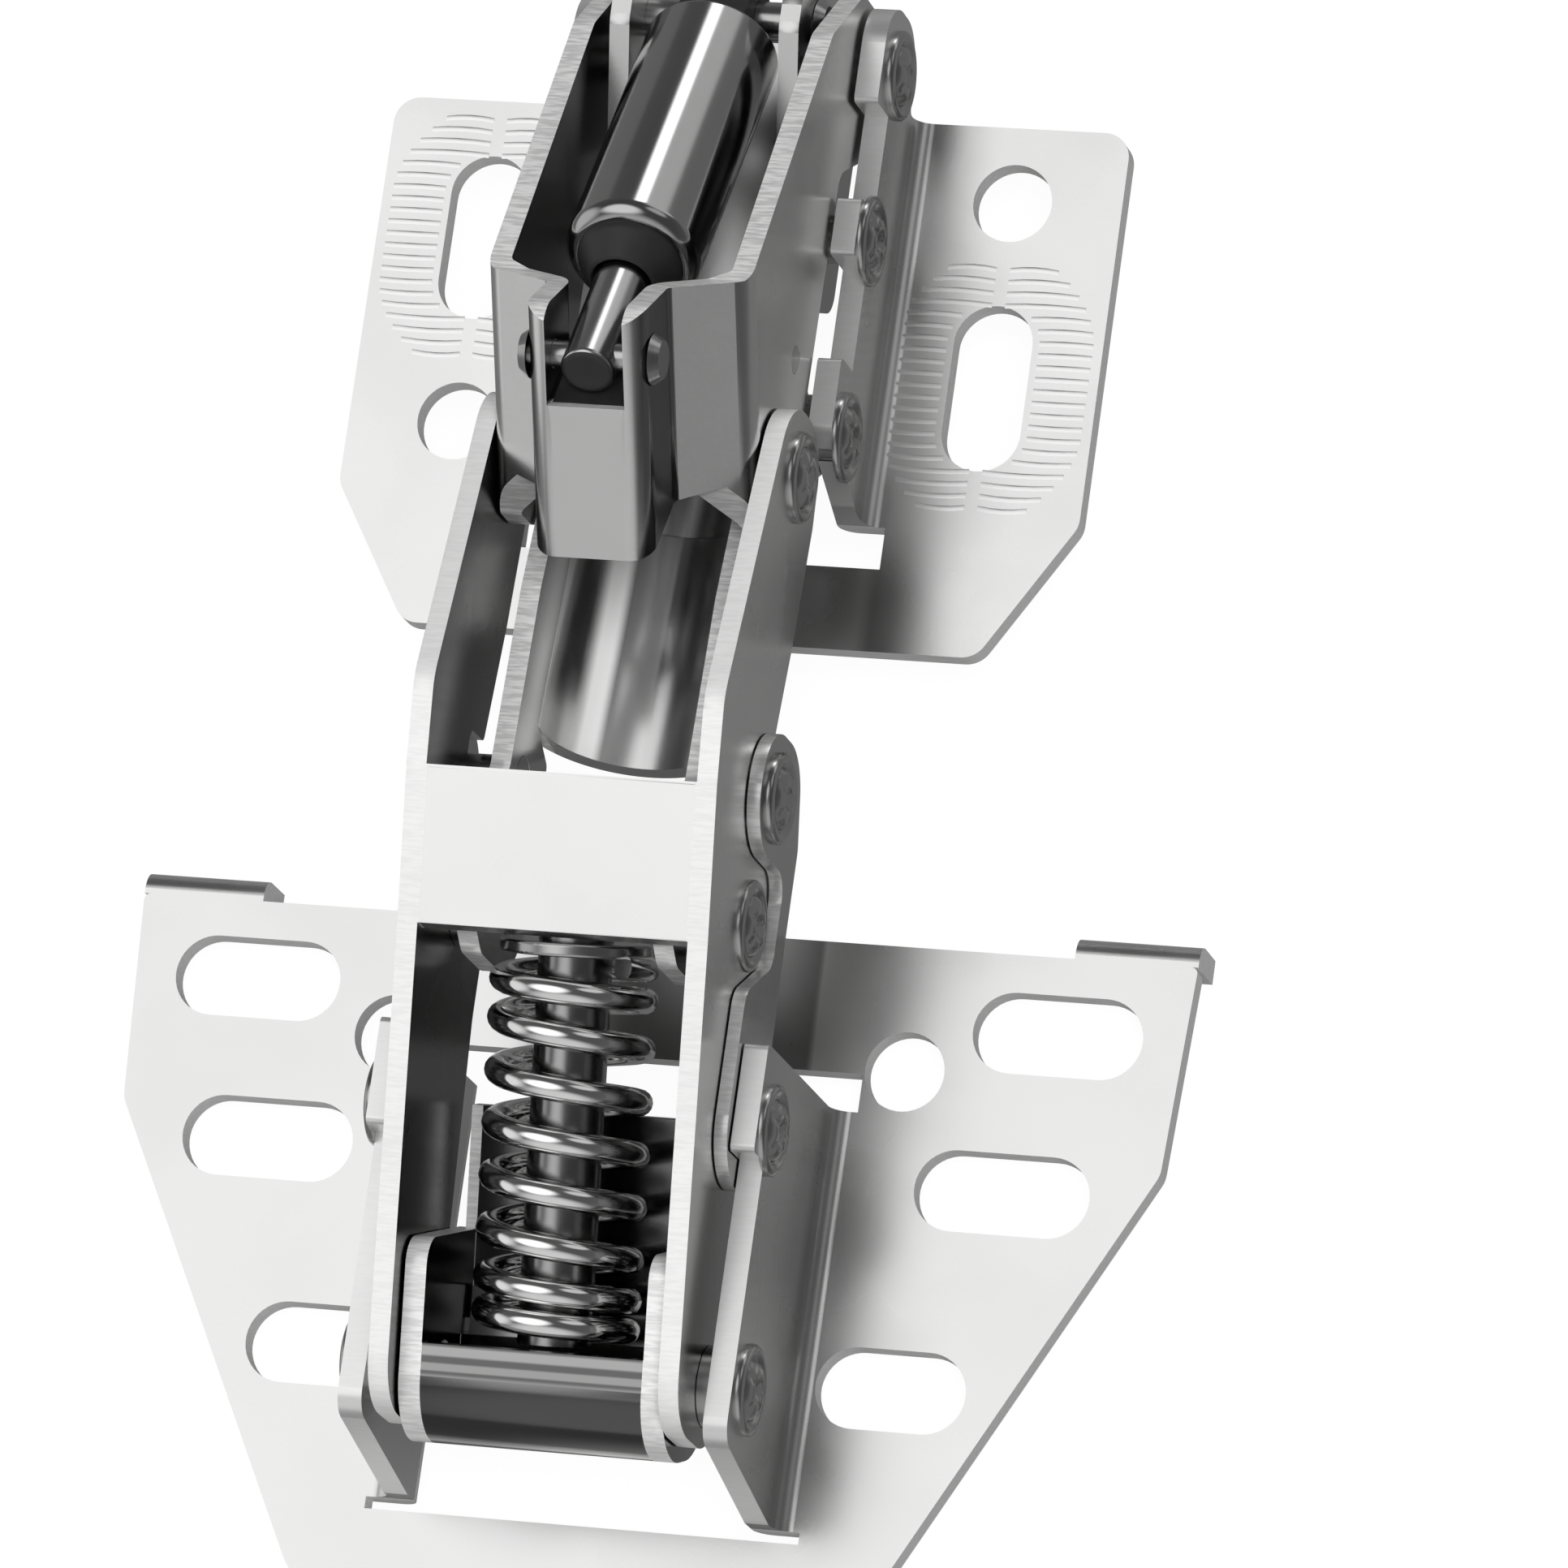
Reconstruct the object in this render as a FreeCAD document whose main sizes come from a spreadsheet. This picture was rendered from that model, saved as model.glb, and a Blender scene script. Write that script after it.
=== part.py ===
# Soft-close cabinet hinge: a bent cabinet plate and a bent door plate joined by a
# seven-pivot linkage of folded sheet arms, with a coil spring and a small damper.
# Shown fully open. +X runs along the pivot pins, +Y from the door plate towards the
# cabinet plate, +Z out of the plates. The origin is midway between the two round screw
# holes of the cabinet plate, on its mounting face.
import FreeCAD, Part
import math
import os
import Sketcher

document = FreeCAD.newDocument("CabinetHinge")
sheet = document.addObject("Spreadsheet::Sheet", "Sizes")


# Sizes: a number that remembers the sheet cell or formula it came from
class Size:
    def __init__(self, value, text):
        self.value = value
        self.text = text

    def __add__(self, other):
        other = as_size(other)
        return Size(self.value + other.value, "(%s + %s)" % (self.text, other.text))

    def __sub__(self, other):
        other = as_size(other)
        return Size(self.value - other.value, "(%s - %s)" % (self.text, other.text))

    def __mul__(self, other):
        other = as_size(other)
        return Size(self.value * other.value, "(%s * %s)" % (self.text, other.text))

    def __truediv__(self, other):
        other = as_size(other)
        return Size(self.value / other.value, "(%s / %s)" % (self.text, other.text))

    def __neg__(self):
        return Size(-self.value, "(0 - %s)" % self.text)

    __radd__ = __add__
    __rmul__ = __mul__

    def __rsub__(self, other):
        return as_size(other) - self


def as_size(thing):
    if isinstance(thing, Size):
        return thing
    return Size(float(thing), "(%r)" % float(thing))


def root(square):
    return Size(math.sqrt(square.value), "sqrt(%s)" % square.text)


def named(alias, value):
    row = "A%d" % (named.count + 1)
    note = "B%d" % (named.count + 1)
    named.count += 1
    sheet.set(row, str(value))
    sheet.setAlias(row, alias)
    sheet.set(note, alias.replace("_", " "))
    return Size(float(value), "Sizes." + alias)


named.count = 0

# Pivots in the side view, Y then Z
channel_pivot_y = 16.9
channel_pivot_z = 8.4
bracket_rivet_y = 3.5
bracket_rivet_z = 10.0
arm_pivot_y = -11.4
arm_pivot_z = 9.3
coupler_y = -17.2
coupler_z = 17.9
elbow_y = -50.1
elbow_z = 14.9
door_pivot_y = -82.8
door_pivot_z = 8.9
link_door_y = -64.4
link_door_z = 12.2
link_arm_y = -40.7
link_arm_z = 15.7
spring_pin_y = -49.1
spring_pin_z = 19.5
damper_front_y = -14.0
damper_front_z = 34.6
damper_rear_y = 18.5
damper_rear_z = 14.5
side_rivet_y = -8.2
side_rivet_z = 17.4

# Sheet thicknesses and the gaps between the layers of sheet, from the middle outwards
plate_sheet = 1.8
arm_sheet = 1.5
channel_sheet = 1.6
link_sheet = 1.0
bracket_sheet = 1.5
bracket_half = 7.2
arm_half = 8.1
layer_gap = 0.2
slide_gap = 0.1
running_gap = 0.05

# Rivets and pins
shank = 1.8
head = 3.35
head_rim = 0.45
head_dome = 0.5
head_flat = 2.3
dimple = 0.9
bush = 3.0
small_pin = 1.0
rear_pin = 1.5
small_head = 1.9
small_head_height = 0.7
lobe = 4.6
end_round = 4.4
link_low_z = 8.7

# Cabinet plate, seen from the front
cabinet_wing = 28.5
cabinet_top = 15.5
cabinet_bottom = -25.4
cabinet_bottom_half = 22.0
cabinet_chamfer_y = -14.9
cabinet_gap_y = -19.1
cabinet_flange_y = -15.9
cabinet_hole_x = 20.15
cabinet_hole_y = 9.65
cabinet_slot_y = 4.75
cabinet_slot_length = 12.8
screw_hole = 3.0
corner = 2.0
bend = 1.4
relief = 0.5
cabinet_rail_z = 9.6
tab_rise = 3.6
rear_tab_half = 3.6
rear_tab_z = 13.0
middle_tab_half = 2.2
front_tab_back = 5.0

# Door plate, seen from the front
door_drop = 5.1
door_top = -46.2
door_wing = 40.5
door_shoulder = 39.7
door_shoulder_y = -61.9
door_foot = 20.5
door_bottom = -98.5
door_foot_corner = 6.0
door_gap_top = -56.0
door_gap_bottom = -91.3
door_hole_x = 19.6
door_hole_y = -55.6
door_slot_radius = 3.05
upper_slot_x = 30.7
upper_slot_y = -52.1
upper_slot_length = 12.8
middle_slot_x = 28.1
middle_slot_y = -64.2
middle_slot_length = 13.2
lower_slot_x = 21.8
lower_slot_y = -79.4
lower_slot_length = 11.3
lip_inner = 31.2
lip_depth = 3.0
door_rail_z = 12.9
door_flange_top = -58.9
door_flange_bottom = -90.4
door_tab_bottom = -66.9

# Main arm, side view
bridge_top_y = -43.1
bridge_top_z = 27.8
bridge_low_y = -54.0
bridge_low_z = 24.5
arm_crest_y = -36.9
arm_crest_z = 29.0
elbow_lobe = 6.7
rivet_way = 2.9

# Inner arm, side view
trough_top_y = -17.5
trough_low_y = -36.0
trough_offset = 1.0
arm_edge_z = 18.0
spring_lobe = 3.4

# Damper channel: a strip folded like a hairpin, raked over; reaches are along the rake
channel_rake = 125.0
neck_half = 4.5
shoulder_reach = 29.7
shoulder_slant = 2.7
nose_reach = 38.7
nose_corner = 1.9
nose_drop = 6.4
web_rise = 5.2
ear_rise = 12.5
ear_round = 2.5
neck_root = 30.7
neck_drop = 2.8
channel_rear_y = 16.1
channel_rear_z = 19.6

# Damper
tube_radius = 5.0
tube_wall = 0.8
tube_rear = 3.4
tube_front_gap = 11.0
tube_nose = 0.7
gland_nose = 0.6
rod_radius = 2.0
rod_play = 1.15
piston_radius = 3.0
tongue_half = 2.6
tongue_reach = 3.0

# Spring, its rod, collar and yoke
coil_radius = 6.15
wire_radius = 0.97
coil_pitch = 3.9
rod_gap = 0.4
collar_thickness = 1.0
collar_radius = 5.5
collar_offset = 4.0
guide_radius = 2.7
eye_radius = 2.9
eye_half = 3.2
yoke_sheet = 1.6
yoke_nose = 5.6
yoke_web = 2.0
yoke_ear = 9.5
yoke_ear_half = 5.2
yoke_shelf = 8.0
shelf_start = 3.0
shelf_end = 18.5

# Every size above gets a cell of the sheet, and its name stands for that cell from here on
for alias, value in list(globals().items()):
    if isinstance(value, float):
        globals()[alias] = named(alias, value)

# Half widths of the layers of sheet
channel_half = arm_half + layer_gap + channel_sheet
main_inner = channel_half + layer_gap
main_half = main_inner + arm_sheet
cabinet_inner = channel_half + layer_gap + slide_gap
cabinet_half = cabinet_inner + plate_sheet
link_inner = main_half + slide_gap
link_half = link_inner + link_sheet
door_inner = link_half + slide_gap
door_half = door_inner + plate_sheet
yoke_half = main_inner - layer_gap
hole = shank + running_gap


def bind(thing, prop, size, unit="mm"):
    thing.setExpression(prop, "%s * 1 %s" % (as_size(size).text, unit))


def origin_plane(body, role):
    return [plane for plane in body.Origin.OriginFeatures if plane.Role == role][0]


def new_body(name):
    body = document.addObject("PartDesign::Body", name)
    body.Label = name
    return body


def new_sketch(body, name, role):
    sketch = body.newObject("Sketcher::SketchObject", name)
    sketch.AttachmentSupport = [(origin_plane(body, role), "")]
    sketch.MapMode = "FlatFace"
    return sketch


def pin_point(sketch, geometry, vertex, x, y):
    x = as_size(x)
    y = as_size(y)
    for axis, size in (("X", x), ("Y", y)):
        constraint = Sketcher.Constraint("Distance" + axis, -1, 1, geometry, vertex, size.value)
        index = sketch.addConstraint(constraint)
        bind(sketch, "Constraints[%d]" % index, size)


def towards(start, end):
    length = math.hypot(end[0] - start[0], end[1] - start[1])
    return ((end[0] - start[0]) / length, (end[1] - start[1]) / length)


def tangent_points(before, point, after, radius):
    back = towards(point, before)
    onward = towards(point, after)
    cosine = max(-1.0, min(1.0, back[0] * onward[0] + back[1] * onward[1]))
    half = math.acos(cosine) / 2
    reach = radius / math.tan(half)
    middle = towards((0, 0), (back[0] + onward[0], back[1] + onward[1]))
    far = radius / math.sin(half)
    first = (point[0] + back[0] * reach, point[1] + back[1] * reach)
    last = (point[0] + onward[0] * reach, point[1] + onward[1] * reach)
    centre = (point[0] + middle[0] * far, point[1] + middle[1] * far)
    turn = back[0] * onward[1] - back[1] * onward[0]
    return first, last, centre, turn


def add_outline(sketch, corners):
    """Closes an outline through corners (x, y) or, where a corner is round, (x, y, radius)."""
    count = len(corners)
    sizes = [(as_size(corner[0]), as_size(corner[1])) for corner in corners]
    radii = [as_size(corner[2]) if len(corner) > 2 else None for corner in corners]
    flat = [(x.value, y.value) for x, y in sizes]
    joints = []
    for index in range(count):
        if radii[index] is None:
            joints.append((flat[index], flat[index], None, 0))
        else:
            joints.append(tangent_points(flat[index - 1], flat[index], flat[(index + 1) % count],
                                         radii[index].value))
    lines = []
    for index in range(count):
        start = joints[index][1]
        end = joints[(index + 1) % count][0]
        along = towards(flat[index], flat[(index + 1) % count])
        if (end[0] - start[0]) * along[0] + (end[1] - start[1]) * along[1] < 0.02:
            raise RuntimeError("%s: no straight left after corner %d" % (sketch.Name, index))
        segment = Part.LineSegment(FreeCAD.Vector(*start, 0), FreeCAD.Vector(*end, 0))
        lines.append(sketch.addGeometry(segment, False))
    for index in range(count):
        before = lines[index - 1]
        after = lines[index]
        if radii[index] is None:
            sketch.addConstraint(Sketcher.Constraint("Coincident", before, 2, after, 1))
            pin_point(sketch, after, 1, *sizes[index])
            continue
        first, last, centre, turn = joints[index]
        start_angle = math.atan2(first[1] - centre[1], first[0] - centre[0])
        end_angle = math.atan2(last[1] - centre[1], last[0] - centre[0])
        start_vertex = 1
        end_vertex = 2
        if turn >= 0:
            start_angle, end_angle = end_angle, start_angle
            start_vertex = 2
            end_vertex = 1
        while end_angle < start_angle:
            end_angle += 2 * math.pi
        circle = Part.Circle(FreeCAD.Vector(*centre, 0), FreeCAD.Vector(0, 0, 1), radii[index].value)
        arc = sketch.addGeometry(Part.ArcOfCircle(circle, start_angle, end_angle), False)
        sketch.addConstraint(Sketcher.Constraint("Tangent", before, 2, arc, start_vertex))
        sketch.addConstraint(Sketcher.Constraint("Tangent", after, 1, arc, end_vertex))
        rounding = sketch.addConstraint(Sketcher.Constraint("Radius", arc, radii[index].value))
        bind(sketch, "Constraints[%d]" % rounding, radii[index])
        point = sketch.addGeometry(Part.Point(FreeCAD.Vector(*flat[index], 0)), True)
        sketch.addConstraint(Sketcher.Constraint("PointOnObject", point, 1, before))
        sketch.addConstraint(Sketcher.Constraint("PointOnObject", point, 1, after))
        pin_point(sketch, point, 1, *sizes[index])


def add_circle(sketch, x, y, radius):
    x = as_size(x)
    y = as_size(y)
    radius = as_size(radius)
    circle = Part.Circle(FreeCAD.Vector(x.value, y.value, 0), FreeCAD.Vector(0, 0, 1), radius.value)
    index = sketch.addGeometry(circle, False)
    rounding = sketch.addConstraint(Sketcher.Constraint("Radius", index, radius.value))
    bind(sketch, "Constraints[%d]" % rounding, radius)
    pin_point(sketch, index, 3, x, y)


def add_slot(sketch, x, y, radius, length, along_x):
    """A round-ended slot centred on (x, y)."""
    x = as_size(x)
    y = as_size(y)
    half = length / 2 - radius
    if along_x:
        centres = ((x + half, y), (x - half, y))
        turn = 0.0
    else:
        centres = ((x, y + half), (x, y - half))
        turn = math.pi / 2
    normal = (-math.sin(turn) * radius.value, math.cos(turn) * radius.value)
    flat = [(cx.value, cy.value) for cx, cy in centres]
    arcs = []
    for index in (0, 1):
        circle = Part.Circle(FreeCAD.Vector(*flat[index], 0), FreeCAD.Vector(0, 0, 1), radius.value)
        start = turn - math.pi / 2 + index * math.pi
        arcs.append(sketch.addGeometry(Part.ArcOfCircle(circle, start, start + math.pi), False))
        rounding = sketch.addConstraint(Sketcher.Constraint("Radius", arcs[index], radius.value))
        bind(sketch, "Constraints[%d]" % rounding, radius)
        pin_point(sketch, arcs[index], 3, *centres[index])
    for first, second, sign in ((0, 1, 1), (1, 0, -1)):
        start = (flat[first][0] + sign * normal[0], flat[first][1] + sign * normal[1])
        end = (flat[second][0] + sign * normal[0], flat[second][1] + sign * normal[1])
        segment = Part.LineSegment(FreeCAD.Vector(*start, 0), FreeCAD.Vector(*end, 0))
        line = sketch.addGeometry(segment, False)
        sketch.addConstraint(Sketcher.Constraint("Tangent", line, 1, arcs[first], 2))
        sketch.addConstraint(Sketcher.Constraint("Tangent", line, 2, arcs[second], 1))


def pad(body, sketch, length, both_ways=True):
    feature = body.newObject("PartDesign::Pad", sketch.Name + "_pad")
    feature.Profile = sketch
    if both_ways:
        feature.SideType = "Symmetric"
    bind(feature, "Length", length)
    sketch.Visibility = False
    document.recompute()
    return feature


def pocket(body, sketch, length=None):
    """Cuts a sketch both ways: through everything, or over a total length."""
    feature = body.newObject("PartDesign::Pocket", sketch.Name + "_cut")
    feature.Profile = sketch
    feature.SideType = "Symmetric"
    if length is None:
        feature.Type = "ThroughAll"
    else:
        bind(feature, "Length", length)
    document.recompute()
    return feature


def round_edges(body, name, radius, picks):
    """Rounds the edges whose middle point the picks function accepts."""
    base = body.Tip
    edges = ["Edge%d" % (index + 1) for index, edge in enumerate(base.Shape.Edges)
             if picks(edge.CenterOfMass, edge)]
    feature = body.newObject("PartDesign::Fillet", name)
    feature.Base = (base, edges)
    bind(feature, "Radius", radius)
    document.recompute()
    return feature


def side_body(name, corners, width):
    """A body padded both ways along X from a side-view outline of (Y, Z) corners."""
    body = new_body(name)
    sketch = new_sketch(body, name + "_side", "YZ_Plane")
    add_outline(sketch, corners)
    pad(body, sketch, width)
    return body


def side_cut(body, name, corners, width):
    sketch = new_sketch(body, name, "YZ_Plane")
    add_outline(sketch, corners)
    return pocket(body, sketch, width)


def side_holes(body, name, holes):
    """Round holes along X through a body, each (Y, Z, radius)."""
    sketch = new_sketch(body, name, "YZ_Plane")
    for y, z, radius in holes:
        add_circle(sketch, y, z, radius)
    return pocket(body, sketch)


def lean(thing, y, z, to_y, to_z, quarter):
    """Puts a thing at (y, z) and turns it about X so that it points at (to_y, to_z)."""
    thing.Placement = FreeCAD.Placement(FreeCAD.Vector(0, y.value, z.value),
                                        FreeCAD.Rotation(FreeCAD.Vector(1, 0, 0), 1))
    bind(thing, "Placement.Base.y", y)
    bind(thing, "Placement.Base.z", z)
    text = "atan2(%s; %s) - %d deg" % ((to_z - z).text, (to_y - y).text, quarter)
    thing.setExpression("Placement.Rotation.Angle", text)


# Cabinet plate: flat wings, two bent-up flanges with raised tabs, screw holes and slots
def build_cabinet_plate():
    body = new_body("cabinet_plate")
    sketch = new_sketch(body, "cabinet_blank", "XY_Plane")
    add_outline(sketch, [
        (cabinet_wing, cabinet_top, corner), (-cabinet_wing, cabinet_top, corner),
        (-cabinet_wing, cabinet_chamfer_y, corner), (-cabinet_bottom_half, cabinet_bottom, corner),
        (cabinet_bottom_half, cabinet_bottom, corner), (cabinet_wing, cabinet_chamfer_y, corner)])
    pad(body, sketch, plate_sheet, both_ways=False)
    flange = new_sketch(body, "cabinet_flanges", "YZ_Plane")
    tab_front = arm_pivot_y - relief
    tab_back = arm_pivot_y + front_tab_back
    add_outline(flange, [
        (cabinet_flange_y, 0), (cabinet_flange_y, plate_sheet),
        (tab_front, arm_pivot_z + tab_rise, relief), (tab_back, arm_pivot_z + tab_rise, relief),
        (tab_back, cabinet_rail_z), (bracket_rivet_y - middle_tab_half, cabinet_rail_z),
        (bracket_rivet_y - middle_tab_half, bracket_rivet_z + tab_rise, relief),
        (bracket_rivet_y + middle_tab_half, bracket_rivet_z + tab_rise, relief),
        (bracket_rivet_y + middle_tab_half, cabinet_rail_z),
        (channel_pivot_y - rear_tab_half, cabinet_rail_z),
        (channel_pivot_y - rear_tab_half, rear_tab_z, relief),
        (channel_pivot_y + lobe, rear_tab_z, rear_tab_half),
        (channel_pivot_y + lobe, channel_pivot_z - rear_tab_half, rear_tab_half),
        (cabinet_top, channel_pivot_z - lobe, relief), (cabinet_top, 0)])
    pad(body, flange, 2 * cabinet_half)
    side_cut(body, "cabinet_middle", [
        (cabinet_gap_y, -plate_sheet), (cabinet_top + 2 * lobe, -plate_sheet),
        (cabinet_top + 2 * lobe, 2 * rear_tab_z), (cabinet_gap_y, 2 * rear_tab_z)], 2 * cabinet_inner)
    side_cut(body, "cabinet_relief", [
        (cabinet_gap_y, -plate_sheet), (cabinet_flange_y, -plate_sheet),
        (cabinet_flange_y, 2 * plate_sheet), (cabinet_gap_y, 2 * plate_sheet)],
        2 * (cabinet_half + bend + relief))
    side_holes(body, "cabinet_pivots", [
        (channel_pivot_y, channel_pivot_z, hole), (bracket_rivet_y, bracket_rivet_z, hole),
        (arm_pivot_y, arm_pivot_z, hole)])
    screws = new_sketch(body, "cabinet_screws", "XY_Plane")
    for side in (1, -1):
        add_circle(screws, side * cabinet_hole_x, side * cabinet_hole_y, screw_hole)
        add_slot(screws, side * cabinet_hole_x, -side * cabinet_slot_y, screw_hole,
                 cabinet_slot_length, False)
    pocket(body, screws)
    round_edges(body, "cabinet_inside_bend", bend, lambda middle, edge: (
        abs(abs(middle.x) - cabinet_half.value) < 0.01 and abs(middle.z - plate_sheet.value) < 0.01
        and edge.Length > 20))
    round_edges(body, "cabinet_outside_bend", bend, lambda middle, edge: (
        abs(abs(middle.x) - cabinet_inner.value) < 0.01 and abs(middle.z) < 0.01 and edge.Length > 20))
    return body


# Door plate: wide tapering wings, two flanges, screw slots and two hooked lips
def build_door_plate():
    body = new_body("door_plate")
    front = plate_sheet - door_drop
    sketch = new_sketch(body, "door_blank", "XY_Plane")
    bind(sketch, "AttachmentOffset.Base.z", -door_drop)
    add_outline(sketch, [
        (door_wing, door_top, relief), (-door_wing, door_top, relief),
        (-door_shoulder, door_shoulder_y, corner), (-door_foot, door_bottom, door_foot_corner),
        (door_foot, door_bottom, door_foot_corner), (door_shoulder, door_shoulder_y, corner)])
    pad(body, sketch, plate_sheet, both_ways=False)
    lips = new_sketch(body, "door_lips", "XY_Plane")
    bind(lips, "AttachmentOffset.Base.z", -door_drop - lip_depth)
    for side in (1, -1):
        add_outline(lips, [
            (side * lip_inner, door_top), (side * door_wing, door_top),
            (side * door_wing, door_top + plate_sheet), (side * lip_inner, door_top + plate_sheet)])
    pad(body, lips, plate_sheet + lip_depth, both_ways=False)
    round_edges(body, "door_lip_bend", bend, lambda middle, edge: (
        abs(middle.y - (door_top + plate_sheet).value) < 0.01 and abs(middle.z - front.value) < 0.01
        and edge.Length > 5))
    flange = new_sketch(body, "door_flanges", "YZ_Plane")
    tab_top = link_door_z + tab_rise
    add_outline(flange, [
        (door_flange_top, -door_drop), (door_flange_top, tab_top, relief),
        (door_tab_bottom, tab_top, relief), (door_tab_bottom, door_rail_z),
        (door_pivot_y - lobe, door_rail_z, corner), (door_flange_bottom, front + plate_sheet),
        (door_flange_bottom, -door_drop)])
    pad(body, flange, 2 * door_half)
    side_cut(body, "door_middle", [
        (door_gap_top, -2 * door_drop), (door_gap_top, 2 * tab_top),
        (door_gap_bottom, 2 * tab_top), (door_gap_bottom, -2 * door_drop)], 2 * door_inner)
    for name, high, low in (("door_relief_top", door_gap_top, door_flange_top),
                            ("door_relief_low", door_flange_bottom, door_gap_bottom)):
        side_cut(body, name, [(high, -2 * door_drop), (high, 0), (low, 0), (low, -2 * door_drop)],
                 2 * (door_half + bend + relief))
    side_holes(body, "door_pivots", [
        (link_door_y, link_door_z, hole), (door_pivot_y, door_pivot_z, hole)])
    screws = new_sketch(body, "door_screws", "XY_Plane")
    for side in (1, -1):
        add_circle(screws, side * door_hole_x, door_hole_y, screw_hole)
        add_slot(screws, side * upper_slot_x, upper_slot_y, door_slot_radius, upper_slot_length, True)
        add_slot(screws, side * middle_slot_x, middle_slot_y, door_slot_radius, middle_slot_length, True)
        add_slot(screws, side * lower_slot_x, lower_slot_y, door_slot_radius, lower_slot_length, True)
    pocket(body, screws)
    round_edges(body, "door_inside_bend", bend, lambda middle, edge: (
        abs(abs(middle.x) - door_half.value) < 0.01 and abs(middle.z - front.value) < 0.01
        and edge.Length > 20))
    round_edges(body, "door_outside_bend", bend, lambda middle, edge: (
        abs(abs(middle.x) - door_inner.value) < 0.01 and abs(middle.z + door_drop.value) < 0.01
        and edge.Length > 20))
    return body


# Main arm: two walls joined by a flat bridge
def build_main_arm():
    body = side_body("main_arm", [
        (coupler_y + lobe, coupler_z + lobe, lobe), (coupler_y + lobe, coupler_z - lobe, lobe),
        (coupler_y - lobe / 2, coupler_z - lobe - relief, corner),
        (link_arm_y + 2 * lobe + rivet_way, link_arm_z - corner, lobe),
        (link_arm_y + rivet_way, link_arm_z - relief, relief),
        (link_arm_y + rivet_way, link_arm_z + rivet_way, relief),
        (elbow_y + elbow_lobe, link_arm_z + rivet_way, relief),
        (elbow_y + elbow_lobe, elbow_z - elbow_lobe, elbow_lobe),
        (elbow_y - elbow_lobe, elbow_z - elbow_lobe, elbow_lobe),
        (door_pivot_y - lobe, door_pivot_z - lobe, lobe),
        (door_pivot_y - lobe, door_pivot_z + lobe + corner, lobe),
        (bridge_low_y, bridge_low_z, lobe), (bridge_top_y, bridge_top_z, lobe),
        (arm_crest_y, arm_crest_z, lobe)], 2 * main_half)
    side_cut(body, "main_above_bridge", [
        (bridge_top_y, 0), (lobe, 0), (lobe, 2 * arm_crest_z), (bridge_top_y, 2 * arm_crest_z)],
        2 * main_inner)
    side_cut(body, "main_below_bridge", [
        (bridge_low_y, 0), (door_pivot_y - 2 * lobe, 0), (door_pivot_y - 2 * lobe, 2 * arm_crest_z),
        (bridge_low_y, 2 * arm_crest_z)], 2 * main_inner)
    side_cut(body, "main_under_bridge", [
        (bridge_top_y, 0), (bridge_top_y, bridge_top_z - arm_sheet),
        (bridge_low_y, bridge_low_z - arm_sheet), (bridge_low_y, 0)], 2 * main_inner)
    side_holes(body, "main_pivots", [
        (coupler_y, coupler_z, hole), (elbow_y, elbow_z, hole), (door_pivot_y, door_pivot_z, hole)])
    return body


def arm_line(y):
    """Height of the straight line through the inner arm's two pivots."""
    slope = (elbow_z - arm_pivot_z) / (elbow_y - arm_pivot_y)
    return arm_pivot_z + (y - arm_pivot_y) * slope


# Inner arm: two walls and a rounded trough between them
def build_inner_arm():
    walls = side_body("inner_arm_walls", [
        (arm_pivot_y + lobe, arm_pivot_z + lobe, lobe), (arm_pivot_y + lobe, arm_pivot_z - lobe, lobe),
        (arm_pivot_y - lobe, arm_pivot_z - lobe, corner),
        (trough_top_y, arm_line(trough_top_y) + trough_offset),
        (trough_low_y, arm_line(trough_low_y) + trough_offset),
        (trough_low_y - corner, elbow_z - lobe, relief), (elbow_y - lobe, elbow_z - lobe, lobe),
        (elbow_y - lobe, spring_pin_z, corner),
        (spring_pin_y - spring_lobe, spring_pin_z + spring_lobe, corner),
        (spring_pin_y + spring_lobe, spring_pin_z + spring_lobe, corner),
        (link_arm_y, link_arm_z + spring_lobe, corner), (trough_top_y - 2 * lobe, arm_edge_z, corner)],
        2 * arm_half)
    side_cut(walls, "inner_arm_middle", [
        (0, 0), (0, 2 * arm_edge_z), (elbow_y - 2 * lobe, 2 * arm_edge_z), (elbow_y - 2 * lobe, 0)],
        2 * (arm_half - arm_sheet))
    side_holes(walls, "inner_arm_pivots", [
        (arm_pivot_y, arm_pivot_z, hole), (elbow_y, elbow_z, hole), (link_arm_y, link_arm_z, hole),
        (spring_pin_y, spring_pin_z, hole)])
    halves = []
    run = trough_top_y - trough_low_y
    rise = arm_line(trough_low_y) - arm_line(trough_top_y)
    for name, radius in (("trough_outside", arm_half), ("trough_inside", arm_half - arm_sheet)):
        half = document.addObject("Part::Cylinder", name)
        half.Angle = 180
        bind(half, "Radius", radius)
        bind(half, "Height", root(run * run + rise * rise))
        lean(half, trough_low_y, arm_line(trough_low_y) + trough_offset,
             trough_top_y, arm_line(trough_top_y) + trough_offset, 90)
        halves.append(half)
    trough = document.addObject("Part::Cut", "trough")
    trough.Base = halves[0]
    trough.Tool = halves[1]
    arm = document.addObject("Part::MultiFuse", "inner_arm")
    arm.Shapes = [walls, trough]
    return arm


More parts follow.
